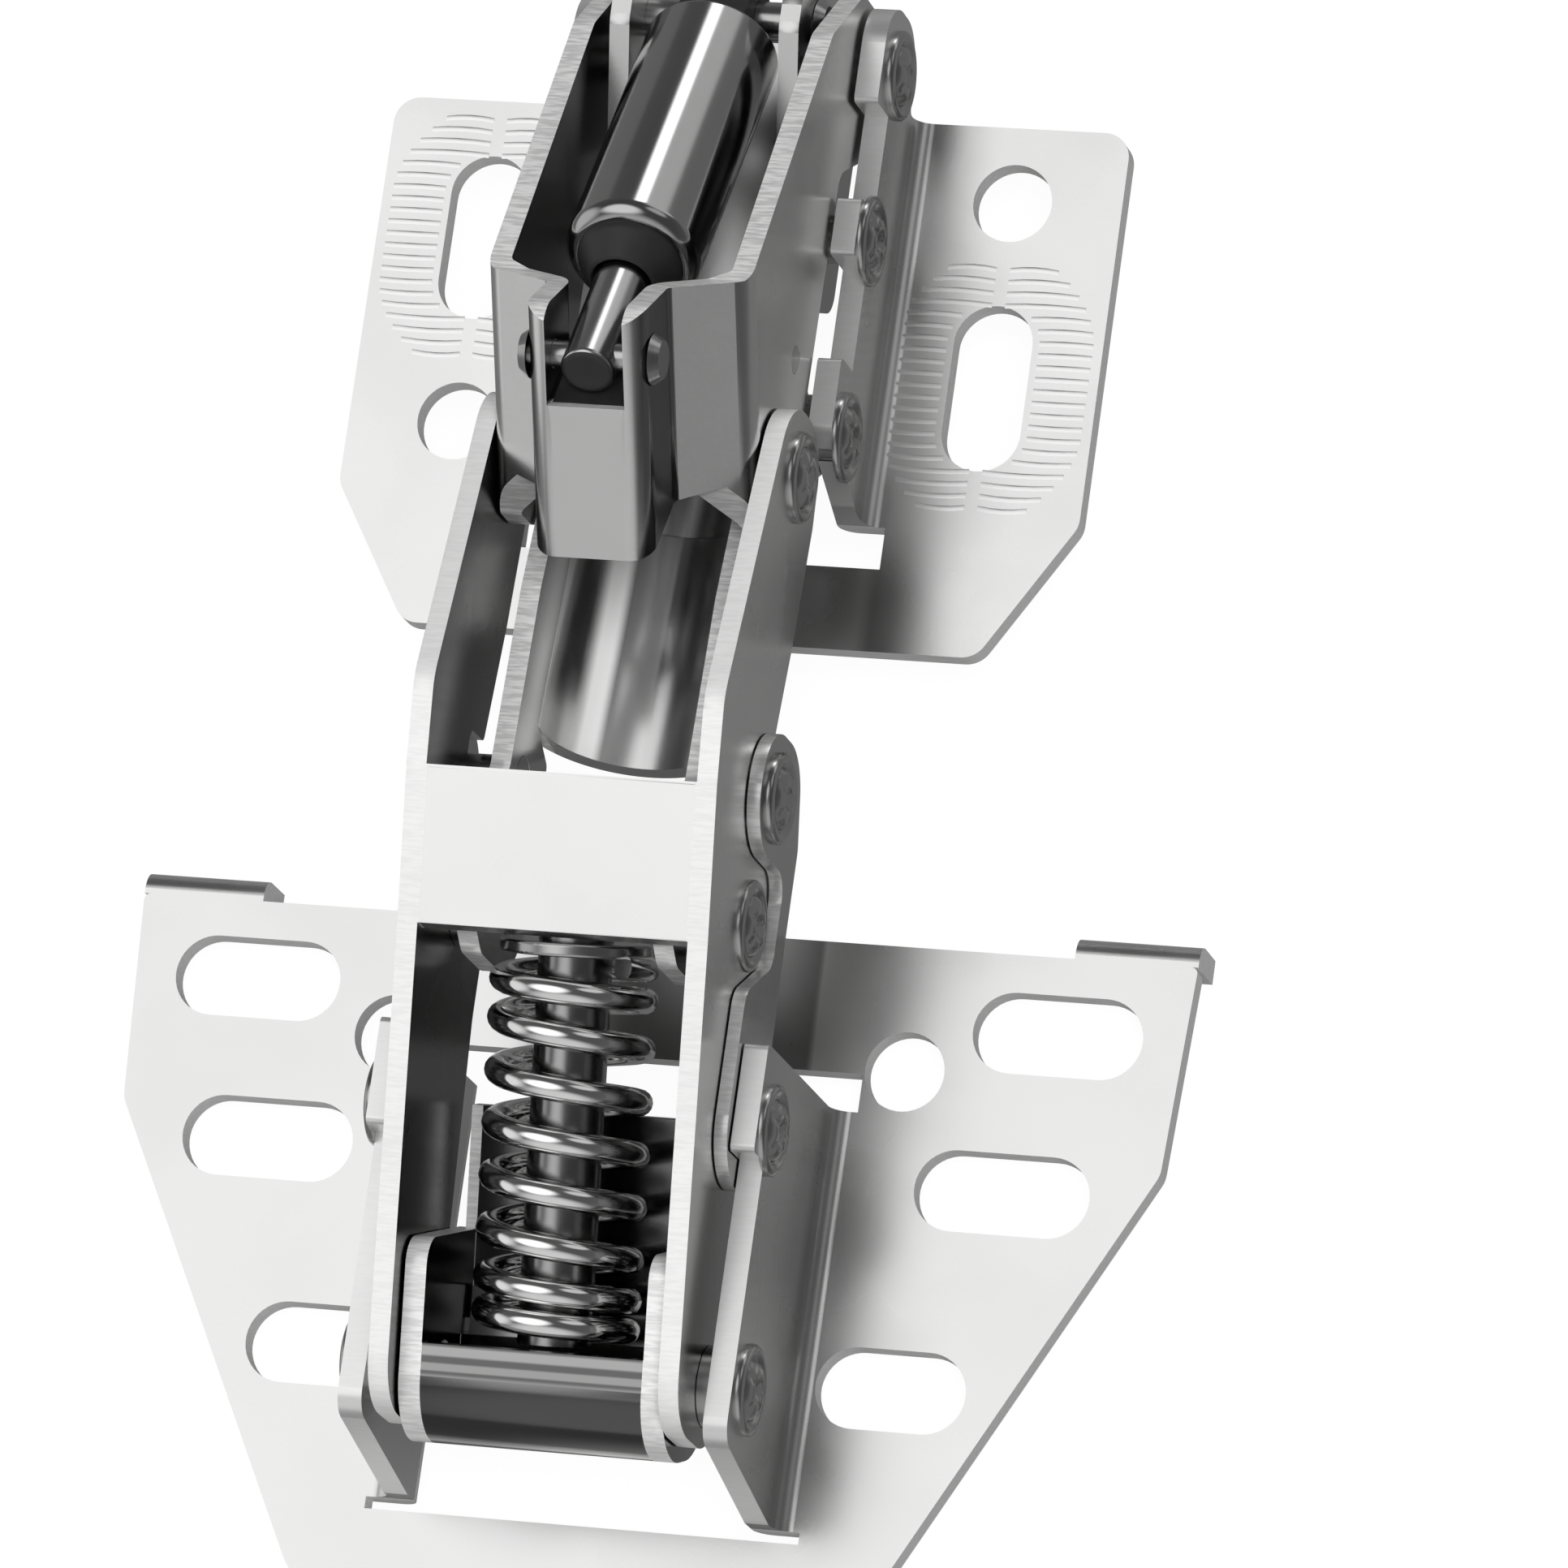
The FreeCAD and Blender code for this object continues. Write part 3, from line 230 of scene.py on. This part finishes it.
def make_floor():
    """White to the camera, grey to the metal that mirrors it, with a faint shadow."""
    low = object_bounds()[0][2] - FLOOR_GAP
    mesh = bpy.data.meshes.new("floor")
    half = FLOOR_SIZE / 2
    corners = [(-half, -half, low), (half, -half, low), (half, half, low), (-half, half, low)]
    mesh.from_pydata(corners, [], [(0, 1, 2, 3)])
    floor = link(bpy.data.objects.new("floor", mesh))
    material = bpy.data.materials.new("floor")
    material.use_nodes = True
    n = Nodes(material.node_tree)
    path = n.add("ShaderNodeLightPath")
    glow = n.add("ShaderNodeEmission")
    shade = n.maths("MULTIPLY", path.outputs["Is Camera Ray"], FLOOR_WHITE - FLOOR_GREY)
    n.join(n.maths("ADD", shade, FLOOR_GREY), glow.inputs["Strength"])
    matt = n.add("ShaderNodeBsdfDiffuse")
    matt.inputs["Color"].default_value = grey(FLOOR_MATT)
    both = n.add("ShaderNodeAddShader")
    n.join(glow.outputs[0], both.inputs[0])
    n.join(matt.outputs[0], both.inputs[1])
    n.join(both.outputs[0], n.add("ShaderNodeOutputMaterial").inputs["Surface"])
    mesh.materials.append(material)


def new_shader(name, metallic):
    material = bpy.data.materials.new(name)
    material.use_nodes = True
    n = Nodes(material.node_tree)
    shader = n.add("ShaderNodeBsdfPrincipled")
    shader.inputs["Metallic"].default_value = metallic
    n.join(shader.outputs[0], n.add("ShaderNodeOutputMaterial").inputs["Surface"])
    return material, n, shader


def plated(name, level, roughness, grain=0.2, sheared=None, shade=None, streaks=0.4, painted_highlight=None):
    """Bright plated steel. The sheared function gives 1 on raw edges of the sheet, the shade
    function a factor of painted shade that darkens the plate, and the highlight function 1 where a
    highlight is painted in as a pale, matt band."""
    material, n, shader = new_shader(name, 1.0)
    place = n.add("ShaderNodeTexCoord").outputs["Object"]
    cloud = n.noise(place, 90.0, 3.0)
    fine = n.noise(place, 3000.0, 2.0)
    tone = n.colours(n.step(cloud, 0.3, 0.7), grey(level * 0.96), grey(level * 1.03))
    rough = n.step(cloud, 0.3, 0.7, roughness * 0.9, roughness * 1.15)
    height = n.maths("MULTIPLY", fine, 0.5)
    if shade:
        # Painted shade: pulls the base colour down towards a dark grey where the shade function
        # says
        tone = n.colours(shade(n, place), grey(level * 0.12), tone)
    if sheared:
        raw = sheared(n, place, n.normal())
        scratch = n.noise(n.stretched(place, (500.0, 4200.0, 4200.0)), 1.0, 2.0, 0.6)
        bright = n.colours(n.step(scratch, 0.35, 0.65), grey(1.0 - streaks), grey(1.0))
        tone = n.colours(raw, tone, bright)
        rough = n.maths("ADD", rough, n.maths("MULTIPLY", raw, 0.22))
        gloss = n.maths("SUBTRACT", 1.0, n.maths("MULTIPLY", raw, 0.6))
        if painted_highlight:
            # Painted highlight: a pale, matt band in the base colour, which the lamp lights
            pale = painted_highlight(n)
            tone = n.colours(pale, tone, grey(1.0))
            gloss = n.maths("SUBTRACT", gloss, pale, clamp=True)
        n.join(gloss, shader.inputs["Metallic"])
        lines = n.maths("MULTIPLY", n.maths("MULTIPLY", raw, scratch), 4.0 * streaks)
        height = n.maths("ADD", height, lines)
    n.join(tone, shader.inputs["Base Color"])
    n.join(rough, shader.inputs["Roughness"])
    n.join(n.bump(height, grain, 0.02 * MM), shader.inputs["Normal"])
    return material


def dull(name, level, roughness):
    material, n, shader = new_shader(name, 0.0)
    place = n.add("ShaderNodeTexCoord").outputs["Object"]
    cloud = n.noise(place, 900.0, 4.0)
    n.join(n.colours(cloud, grey(level * 0.7), grey(level * 1.3)), shader.inputs["Base Color"])
    n.join(n.step(cloud, 0.2, 0.8, roughness * 0.9, roughness * 1.1), shader.inputs["Roughness"])
    n.join(n.bump(cloud, 0.2, 0.03 * MM), shader.inputs["Normal"])
    return material


def facing_edges(n, normal):
    """1 where a face looks along neither way of X."""
    return n.step(n.maths("ABSOLUTE", n.dot(normal, (1, 0, 0))), 0.2, 0.5, 1.0, 0.0)


def facing_sides(n, place, normal):
    """The rim of a flat plate that stands across X."""
    return n.maths("MULTIPLY", facing_edges(n, normal), 0.45)


def wall_edges(inner):
    """Raw edges only outside X = inner, where the sheet stands on edge."""
    def sheared(n, place, normal):
        across = n.maths("ABSOLUTE", n.dot(place, (1, 0, 0)))
        beyond = n.step(across, inner - 0.05 * MM, inner)
        return n.maths("MULTIPLY", facing_edges(n, normal), beyond)
    return sheared


def channel_edges(n, place, normal):
    """Raw edges, but not the channel's flat nose, which looks along its rake."""
    rake = (0, math.cos(CHANNEL_RAKE), math.sin(CHANNEL_RAKE))
    other = n.step(n.dot(normal, rake), 0.85, 0.95, 1.0, 0.0)
    return n.maths("MULTIPLY", facing_edges(n, normal), other)


def plate_edges(top):
    """The cut rim of a plate whose upper face lies at Z = top, and its flanges' upper edges."""
    def sheared(n, place, normal):
        height = n.dot(place, (0, 0, 1))
        rim = n.step(n.maths("ABSOLUTE", n.dot(normal, (0, 0, 1))), 0.3, 0.6, 1.0, 0.0)
        rim = n.maths("MULTIPLY", rim, n.step(height, top, top + 0.05 * MM, 1.0, 0.0))
        flange = n.maths("MULTIPLY", facing_edges(n, normal),
                         n.step(height, top + 2 * MM, top + 2.5 * MM, 0.0, 0.3))
        return n.maths("MAXIMUM", rim, flange)
    return sheared


def inner_wall_painted_shade(reach, factor):
    """Painted shade: darkens a channel's inner walls, which lie nearer than X = reach and look
    along X.
    """
    def shade(n, place):
        across = n.maths("ABSOLUTE", n.dot(place, (1, 0, 0)))
        wall = n.step(n.maths("ABSOLUTE", n.dot(n.normal(), (1, 0, 0))), 0.5, 0.8)
        near = n.step(across, reach, reach + 0.1 * MM, 1.0, 0.0)
        dark = n.maths("MULTIPLY", n.maths("MULTIPLY", wall, near), 1.0 - factor)
        return n.maths("SUBTRACT", 1.0, dark)
    return shade


def dress(piece, material):
    piece.data.materials.clear()
    piece.data.materials.append(material)


# Spring: the rise of each turn, closed at both ends, and where it starts above the axle
SPRING_PITCHES = [1.95 * MM, 2.7 * MM] + [3.8 * MM] * 5 + [2.4 * MM, 1.95 * MM]
SPRING_TURNS = 8.35
SPRING_START = 3.05 * MM
COIL_RADIUS = 5.18 * MM
WIRE_RADIUS = 0.97 * MM
WIRE_STEPS = 56
WIRE_SIDES = 16

# Rivet heads: profile of (radius, height over the sheet) in mm, and the crimping tool's marks
HEAD_PROFILE = [(3.35, 0.0), (3.35, 0.30), (3.22, 0.48), (2.95, 0.58), (2.65, 0.55), (2.45, 0.34),
                (2.30, 0.30), (2.15, 0.46), (1.90, 0.74), (1.50, 0.90), (1.05, 0.93), (0.80, 0.84),
                (0.55, 0.60), (0.0, 0.52)]
HEAD_RISE = 0.95 * MM
HEAD_SEGMENTS = 60
SHANK_RADIUS = 1.8 * MM
MARK_COUNT = 5
MARK_DEPTH = 0.24
MARK_MIDDLE = 1.45
MARK_REACH = 0.75

# Slots of the cabinet plate, and the ridges pressed in beside them
SLOT_X = 20.15 * MM
SLOT_Y = 4.75 * MM
SLOT_RADIUS = 3.0 * MM
SLOT_LENGTH = 12.8 * MM
RIDGE_PITCH = 0.92 * MM
RIDGE_COUNT = 21
RIDGE_LENGTH = 4.6 * MM
RIDGE_GAP = 0.5 * MM
RIDGE_HALF = 0.2 * MM
RIDGE_RISE = 0.04 * MM
RIDGE_ARCH = 0.7 * MM
RIDGE_TAPER = 0.9 * MM
RIDGE_LEAST = 1.0 * MM
RIDGE_PARTS = 4

# The trough's upper end: its radii, its length, and its start and drop from the pivot
TROUGH_STEPS = 40
TROUGH_OUTER = 8.05 * MM
TROUGH_INNER = 6.65 * MM
TROUGH_MORE = 3.6 * MM
TROUGH_BACK = 6.1 * MM
TROUGH_LIFT = 1.0 * MM

# Where the sheets lie: upper faces in Z, inner walls in X, and the slant of the channel's nose
CHANNEL_RAKE = math.radians(125.0)
CABINET_TOP = 1.8 * MM
DOOR_TOP = -3.3 * MM
WALL_INNER = 10.0 * MM
ARM_INNER = 6.5 * MM


def middle(node):
    low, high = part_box(node)
    return (Vector(low) + Vector(high)) / 2


def finish_mesh(name, points, faces, material, body):
    mesh = bpy.data.meshes.new(name)
    mesh.from_pydata(points, [], faces)
    mesh.validate()
    for face in mesh.polygons:
        face.use_smooth = True
    mesh.set_sharp_from_angle(angle=math.radians(50))
    piece = link(bpy.data.objects.new(name, mesh))
    mesh.materials.append(material)
    if body:
        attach(piece, body)
    return piece


def axis_frame(start, along, side=Vector((1, 0, 0))):
    """A matrix whose Z runs along a direction and whose X is the given side."""
    along = along.normalized()
    other = along.cross(side).normalized()
    across = other.cross(along)
    return Matrix.Translation(start) @ Matrix((across, other, along)).transposed().to_4x4()


def supported(profile, gap=0.12 * MM):
    """Adds a point near both ends of a long stretch, so that smooth shading keeps it straight."""
    dense = [profile[0]]
    for before, after in zip(profile, profile[1:]):
        reach = math.dist(before, after)
        if reach > 6 * gap:
            for share in (gap / reach, 1 - gap / reach):
                dense.append(tuple(a + (b - a) * share for a, b in zip(before, after)))
        dense.append(after)
    return dense


def lathe(profile, segments, place, marks=None):
    """Points and faces of a profile of (radius, height), turned about the Z of a matrix."""
    profile = supported(profile)
    points = []
    faces = []
    for radius, height in profile:
        for index in range(segments):
            turn = 2 * math.pi * index / segments
            lift = marks(radius, turn) if marks else 0.0
            spot = (radius * math.cos(turn), radius * math.sin(turn), height + lift)
            points.append(place @ Vector(spot))
    for ring in range(len(profile) - 1):
        for index in range(segments):
            onward = (index + 1) % segments
            low = ring * segments
            high = low + segments
            faces.append((low + index, low + onward, high + onward, high + index))
    return points, faces


def crimp(radius, turn):
    """Shallow notches round a rivet's middle, left by the crimping tool."""
    reach = max(0.0, 1.0 - abs(radius / MM - MARK_MIDDLE) / MARK_REACH)
    notch = max(0.0, math.cos(MARK_COUNT * turn)) ** 2
    return -MARK_DEPTH * MM * reach * notch


def make_rivets(node, material, body):
    """Turned rivets in place of a plain pair: shank, rim, ring and crimped middle."""
    points = []
    faces = []
    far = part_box(node)[1][0]
    centre = middle(node)
    near = min(abs(vertex.co.x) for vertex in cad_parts[node].data.vertices)
    seat = far - HEAD_RISE
    outline = [(0.0, near - seat), (SHANK_RADIUS, near - seat), (SHANK_RADIUS, 0.0)]
    outline += [(radius * MM, height * MM) for radius, height in HEAD_PROFILE]
    for side in (1, -1):
        start = Vector((side * seat, centre.y, centre.z))
        place = axis_frame(start, Vector((side, 0, 0)), Vector((0, 1, 0)))
        new_points, new_faces = lathe(outline, HEAD_SEGMENTS, place, crimp)
        faces += [tuple(corner + len(points) for corner in face) for face in new_faces]
        points += new_points
    piece = finish_mesh(node + "_crimped", points, faces, material, body)
    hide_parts(node)


def spring_height(turns):
    """Distance climbed along the spring after a number of turns."""
    climbed = 0.0
    for pitch in SPRING_PITCHES:
        part = min(1.0, turns)
        if part <= 0:
            break
        climbed += pitch * part
        turns -= part
    return climbed


def make_spring(material):
    """The coil spring as one wire, between the yoke and the rod, wound along the line from the
    door's pivot axle to the spring's cross pin.
    """
    foot = middle("door_pivot_axle")
    along = (middle("spring_cross_pin") - foot).normalized()
    place = axis_frame(foot, along)
    points = []
    faces = []
    count = int(SPRING_TURNS * WIRE_STEPS)
    for index in range(count + 1):
        turns = index / WIRE_STEPS
        turn = math.pi / 2 - math.pi * 2 * turns
        rise = (spring_height(turns + 0.01) - spring_height(turns)) / 0.01
        climb = rise / (2 * math.pi * COIL_RADIUS)
        out = Vector((math.cos(turn), math.sin(turn), 0))
        ahead = Vector((math.sin(turn), -math.cos(turn), climb)).normalized()
        over = ahead.cross(out)
        centre = out * COIL_RADIUS + Vector((0, 0, SPRING_START + spring_height(turns)))
        for step in range(WIRE_SIDES):
            angle = 2 * math.pi * step / WIRE_SIDES
            around = out * math.cos(angle) + over * math.sin(angle)
            points.append(place @ (centre + around * WIRE_RADIUS))
    for index in range(count):
        for step in range(WIRE_SIDES):
            low = index * WIRE_SIDES
            high = low + WIRE_SIDES
            onward = (step + 1) % WIRE_SIDES
            faces.append((low + step, low + onward, high + onward, high + step))
    faces.append(tuple(reversed(range(WIRE_SIDES))))
    faces.append(tuple(count * WIRE_SIDES + step for step in range(WIRE_SIDES)))
    piece = finish_mesh("spring_wound", points, faces, material, None)
    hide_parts("spring")
    tuple(foot + along * (SPRING_START + spring_height(SPRING_TURNS)))
    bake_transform(piece)


def make_ridges(material):
    """Fine ridges to both sides of each slot in the cabinet plate."""
    straight = SLOT_LENGTH / 2 - SLOT_RADIUS
    points = []
    faces = []
    for side in (1, -1):
        for hand in (1, -1):
            for index in range(RIDGE_COUNT):
                y = (index - (RIDGE_COUNT - 1) / 2) * RIDGE_PITCH
                beyond = max(0.0, abs(y) - straight)
                inner = math.sqrt(max(0.0, SLOT_RADIUS ** 2 - beyond ** 2)) + RIDGE_GAP
                outer = SLOT_RADIUS + RIDGE_LENGTH
                outer -= RIDGE_TAPER * (beyond / SLOT_RADIUS) ** 2
                if outer - inner < RIDGE_LEAST:
                    continue
                bow = RIDGE_ARCH * y / (RIDGE_COUNT * RIDGE_PITCH / 2)
                first = len(points)
                for part in range(RIDGE_PARTS + 1):
                    share = part / RIDGE_PARTS
                    x = side * SLOT_X + hand * (inner + (outer - inner) * share)
                    mid = -side * SLOT_Y + y + bow * (share - share * share)
                    rise = RIDGE_RISE * math.sin(math.pi * (0.12 + 0.76 * share))
                    points += [(x, mid - RIDGE_HALF, CABINET_TOP), (x, mid, CABINET_TOP + rise),
                               (x, mid + RIDGE_HALF, CABINET_TOP)]
                for part in range(RIDGE_PARTS):
                    low = first + 3 * part
                    for row in (0, 1):
                        faces.append((low + row, low + row + 3, low + row + 4, low + row + 1))
    piece = finish_mesh("slot_ridges", points, faces, material, "cabinet")


def make_trough_end(material):
    """Carries the inner arm's trough on, past its straight part, up to the pivot's rivets."""
    pivot = middle("arm_pivot_rivets")
    along = (pivot - middle("elbow_rivets")).normalized()
    place = axis_frame(pivot - along * TROUGH_BACK + Vector((0, 0, TROUGH_LIFT)), along)
    points = []
    faces = []
    for index in range(TROUGH_STEPS + 1):
        turn = math.pi * index / TROUGH_STEPS
        over = Vector((math.cos(turn), math.sin(turn), 0))
        for radius, height in ((TROUGH_OUTER, 0), (TROUGH_OUTER, TROUGH_MORE),
                               (TROUGH_INNER, TROUGH_MORE), (TROUGH_INNER, 0)):
            points.append(place @ (over * radius + Vector((0, 0, height))))
    for index in range(TROUGH_STEPS):
        low = 4 * index
        for side in range(4):
            onward = (side + 1) % 4
            faces.append((low + side, low + onward, low + 4 + onward, low + 4 + side))
    last = 4 * TROUGH_STEPS
    faces.append((3, 2, 1, 0))
    faces.append((last, last + 1, last + 2, last + 3))
    piece = finish_mesh("trough_end", points, faces, material, "inner_arm")


def make_block(name, points, material, body):
    """A block between four corners and the four that lie over them."""
    faces = [(3, 2, 1, 0), (4, 5, 6, 7)]
    for side in range(4):
        onward = (side + 1) % 4
        faces.append((side, onward, onward + 4, side + 4))
    piece = finish_mesh(name, points, faces, material, body)


def make_yoke_floor(material):
    """A thin sheet between the yoke's web and its shelf, under the spring."""
    corners = [(-8.0, -83.0, 3.4), (8.0, -83.0, 3.4), (8.0, -76.0, 4.6), (-8.0, -76.0, 4.6)]
    points = [Vector(corner) * MM for corner in corners]
    points += [point + Vector((0, 0, 0.8 * MM)) for point in points]
    make_block("yoke_floor", points, material, "spring_unit")


def make_rod_foot(material):
    """A black block under the end of the damper's rod."""
    front = middle("damper_front_pin")
    along = front - middle("damper_rear_pin")
    place = axis_frame(front, along)
    points = []
    for y in (-3.4 * MM, -2.3 * MM):
        for x, z in ((-2.7, -5.0), (2.7, -5.0), (2.7, 2.6), (-2.7, 2.6)):
            points.append(place @ Vector((x * MM, y, z * MM)))
    make_block("rod_foot", points, material, "damper_rod")


def make_damper(tube_material, rod_material, dark_material):
    """The damper's tube with its crimped mouth, the seal's dark cone and the rod."""
    rear = middle("damper_rear_pin")
    front = middle("damper_front_pin")
    along = front - rear
    length = along.length
    place = axis_frame(rear, along)
    mouth = length - 11.0 * MM
    tube = [(0.0, 3.4 * MM), (4.5 * MM, 3.4 * MM), (5.0 * MM, 3.9 * MM),
            (5.0 * MM, mouth - 0.5 * MM), (4.95 * MM, mouth - 0.2 * MM),
            (4.75 * MM, mouth + 0.15 * MM), (4.4 * MM, mouth + 0.45 * MM),
            (4.05 * MM, mouth + 0.6 * MM), (3.85 * MM, mouth + 0.55 * MM),
            (3.75 * MM, mouth + 0.3 * MM)]
    piece = finish_mesh("tube_turned", *lathe(tube, 96, place), tube_material, "damper_tube")
    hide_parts("damper_tube")
    seal = [(3.7 * MM, mouth - 2 * MM), (3.9 * MM, mouth + 0.7 * MM),
            (3.75 * MM, mouth + 1.1 * MM), (2.6 * MM, mouth + 2.9 * MM),
            (2.3 * MM, mouth + 3.0 * MM), (2.2 * MM, mouth + 2.7 * MM), (2.2 * MM, mouth - 2 * MM)]
    piece = finish_mesh("seal_turned", *lathe(seal, 72, place), dark_material, "damper_tube")
    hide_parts("damper_gland")
    rod_start = length / 2 - 5 * MM
    rod_end = length + 1.9 * MM
    rod = [(0.0, rod_start), (2.0 * MM, rod_start), (2.0 * MM, rod_end - 0.35 * MM),
           (1.88 * MM, rod_end - 0.12 * MM), (1.6 * MM, rod_end), (0.0, rod_end)]
    piece = finish_mesh("rod_turned", *lathe(rod, 64, place), rod_material, "damper_rod")
    # Painted shade: the rod's flat end face gets the dark rubber material
    piece.data.materials.append(dark_material)
    for face in piece.data.polygons:
        if face.normal.dot(along.normalized()) > 0.8:
            face.material_index = 1
    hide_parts("damper_rod")


def soften(node, width=0.12 * MM):
    """Breaks a sheet's sharp edges, as plating does."""
    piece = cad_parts[node]
    weld = piece.modifiers.new("weld", "WELD")
    weld.merge_threshold = 0.002 * MM
    bevel = piece.modifiers.new("edges", "BEVEL")
    bevel.width = width
    bevel.segments = 2
    bevel.limit_method = "ANGLE"
    bevel.angle_limit = math.radians(35)


def cabinet_painted_shade(n, place):
    """Painted shade: darker beside the right-hand bend and at the foot of the plate's right half.
    """
    across = n.dot(place, (1, 0, 0))
    bend = n.maths("MULTIPLY", n.step(across, 12.6 * MM, 14.0 * MM, 0.0, 0.3),
                   n.step(across, 14.5 * MM, 19.0 * MM, 1.0, 0.0))
    below = n.step(n.dot(place, (0, 1, 0)), -22.0 * MM, -13.0 * MM, 1.0, 0.0)
    foot = n.maths("MULTIPLY", below, n.step(across, 15.0 * MM, 21.0 * MM, 0.5, 0.0))
    dark = n.maths("MULTIPLY", n.maths("ADD", bend, foot), n.step(across, 0.0, 12.0 * MM))
    return n.maths("SUBTRACT", 1.0, dark, clamp=True)


def yoke_painted_reflection(n, place):
    """Painted reflection: a dark base colour for the dark surroundings the polished sheet mirrors,
    with thin painted light bands along its nose and a painted pale patch on its lower, right-hand
    part.
    """
    up = n.dot(n.normal(), (0, 0, 1))
    along = n.dot(place, (0, 1, 0))
    shade = 0.10
    for centre, half, strength in ((-83.0, 0.22, 0.45), (-84.1, 0.18, 0.35), (-85.0, 0.25, 0.25)):
        away = n.maths("ABSOLUTE", n.maths("SUBTRACT", along, centre * MM))
        shade = n.maths("ADD", shade, n.step(away, half * MM, 2 * half * MM, strength, 0.0))
    pale = n.maths("MULTIPLY", n.step(up, 0.15, 0.55, 1.0, 0.0),
                   n.step(n.dot(place, (1, 0, 0)), -6 * MM, 7 * MM, 0.0, 0.8))
    return n.maths("ADD", shade, pale, clamp=True)


def trough_painted_highlight(n):
    """Painted highlight: a pale band along the inner arm's trough, and a fainter one right of it.
    """
    normal = n.normal()
    across = n.dot(normal, (1, 0, 0))
    band = n.step(n.maths("ABSOLUTE", n.maths("SUBTRACT", across, 0.64)), 0.05, 0.20, 1.0, 0.0)
    faint = n.maths("MULTIPLY", n.step(across, 0.04, 0.10), n.step(across, 0.50, 0.70, 0.25, 0.0))
    upward = n.step(n.dot(normal, (0, 0, 1)), 0.2, 0.4)
    return n.maths("MULTIPLY", n.maths("MAXIMUM", band, faint), upward)


def door_painted_shade(n, place):
    """Painted shade: darker beside the right-hand bend, and on the upper face under the arms."""
    across = n.dot(place, (1, 0, 0))
    along = n.dot(place, (0, 1, 0))
    bend = n.step(across, 14.0 * MM, 22.0 * MM, 0.40, 0.0)
    above = n.step(along, -60.0 * MM, -50.0 * MM, 0.25, 1.0)
    under = n.maths("MULTIPLY", n.step(across, -7.0 * MM, -1.0 * MM),
                    n.step(across, 12.0 * MM, 13.0 * MM, 0.8, 0.0))
    under = n.maths("MULTIPLY", under, n.step(n.dot(n.normal(), (0, 0, 1)), 0.5, 0.8))
    level = n.step(n.dot(place, (0, 0, 1)), -3.1 * MM, -2.9 * MM, 1.0, 0.0)
    under = n.maths("MULTIPLY", under, level)
    under = n.maths("MULTIPLY", under, n.step(along, -80.0 * MM, -72.0 * MM))
    right = n.maths("MULTIPLY", n.maths("MULTIPLY", bend, above), n.step(across, 0.0, 12.0 * MM))
    dark = n.maths("MAXIMUM", right, under)
    return n.maths("SUBTRACT", 1.0, dark, clamp=True)


make_camera()
make_world()
make_floor()
make_lamp()

cabinet_steel = plated("cabinet_steel", 0.90, 0.27, sheared=plate_edges(CABINET_TOP),
                       streaks=0.08, shade=cabinet_painted_shade)
door_steel = plated("door_steel", 0.86, 0.27, sheared=plate_edges(DOOR_TOP), streaks=0.08,
                    shade=door_painted_shade)
ridge_steel = plated("ridge_steel", 0.88, 0.25)
main_steel = plated("main_steel", 0.88, 0.26, sheared=wall_edges(WALL_INNER), streaks=0.07,
                    shade=inner_wall_painted_shade(10.2 * MM, 0.12))
# The inner arm's trough carries a painted highlight band
arm_steel = plated("arm_steel", 0.62, 0.20, sheared=wall_edges(ARM_INNER), streaks=0.3,
                   painted_highlight=trough_painted_highlight)
link_steel = plated("link_steel", 0.60, 0.20, sheared=facing_sides, streaks=0.3)
channel_steel = plated("channel_steel", 0.74, 0.24, sheared=channel_edges, streaks=0.3,
                       shade=inner_wall_painted_shade(8.4 * MM, 0.2))
bracket_steel = plated("bracket_steel", 0.70, 0.24)
yoke_steel = plated("yoke_steel", 0.62, 0.15, sheared=wall_edges(8.3 * MM), streaks=0.2,
                    shade=yoke_painted_reflection)
rivet_steel = plated("rivet_steel", 0.52, 0.22)
spring_steel = plated("spring_steel", 0.96, 0.12, grain=0.05)
tube_steel = plated("tube_steel", 0.50, 0.13, grain=0.03)
rod_steel = plated("rod_steel", 0.62, 0.22, grain=0.04)
dark_steel = plated("dark_steel", 0.38, 0.20, grain=0.05)
rubber = dull("seal_rubber", 0.02, 0.5)

MATERIALS = {
    "cabinet_plate": cabinet_steel, "door_plate": door_steel, "main_arm": main_steel,
    "inner_arm": arm_steel, "outer_link_right": link_steel, "outer_link_left": link_steel,
    "damper_channel": channel_steel, "damper_bracket": bracket_steel, "spring_yoke": yoke_steel,
    "damper_tube": tube_steel, "damper_rod": rod_steel, "damper_gland": rubber,
    "damper_piston": rubber, "damper_end_plug": rubber, "spring": spring_steel,
    "spring_rod": dark_steel,
}
for node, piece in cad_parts.items():
    dress(piece, MATERIALS.get(node, rivet_steel))

RIVETS = {
    "channel_pivot_rivets": "cabinet", "bracket_rivets": "cabinet", "arm_pivot_rivets": "cabinet",
    "coupler_rivets": "main_arm", "elbow_rivets": "main_arm", "link_arm_rivets": "outer_link",
    "link_door_rivets": "door", "door_pivot_axle": "door",
}
for node, body in RIVETS.items():
    make_rivets(node, rivet_steel, body)
make_spring(spring_steel)
make_ridges(ridge_steel)
make_trough_end(arm_steel)
make_yoke_floor(dark_steel)
make_damper(tube_steel, rod_steel, rubber)
make_rod_foot(rubber)
for node in ("main_arm", "inner_arm", "damper_channel", "outer_link_right", "outer_link_left",
             "spring_yoke", "damper_bracket"):
    soften(node)

bpy.context.scene.view_settings.view_transform = "Standard"
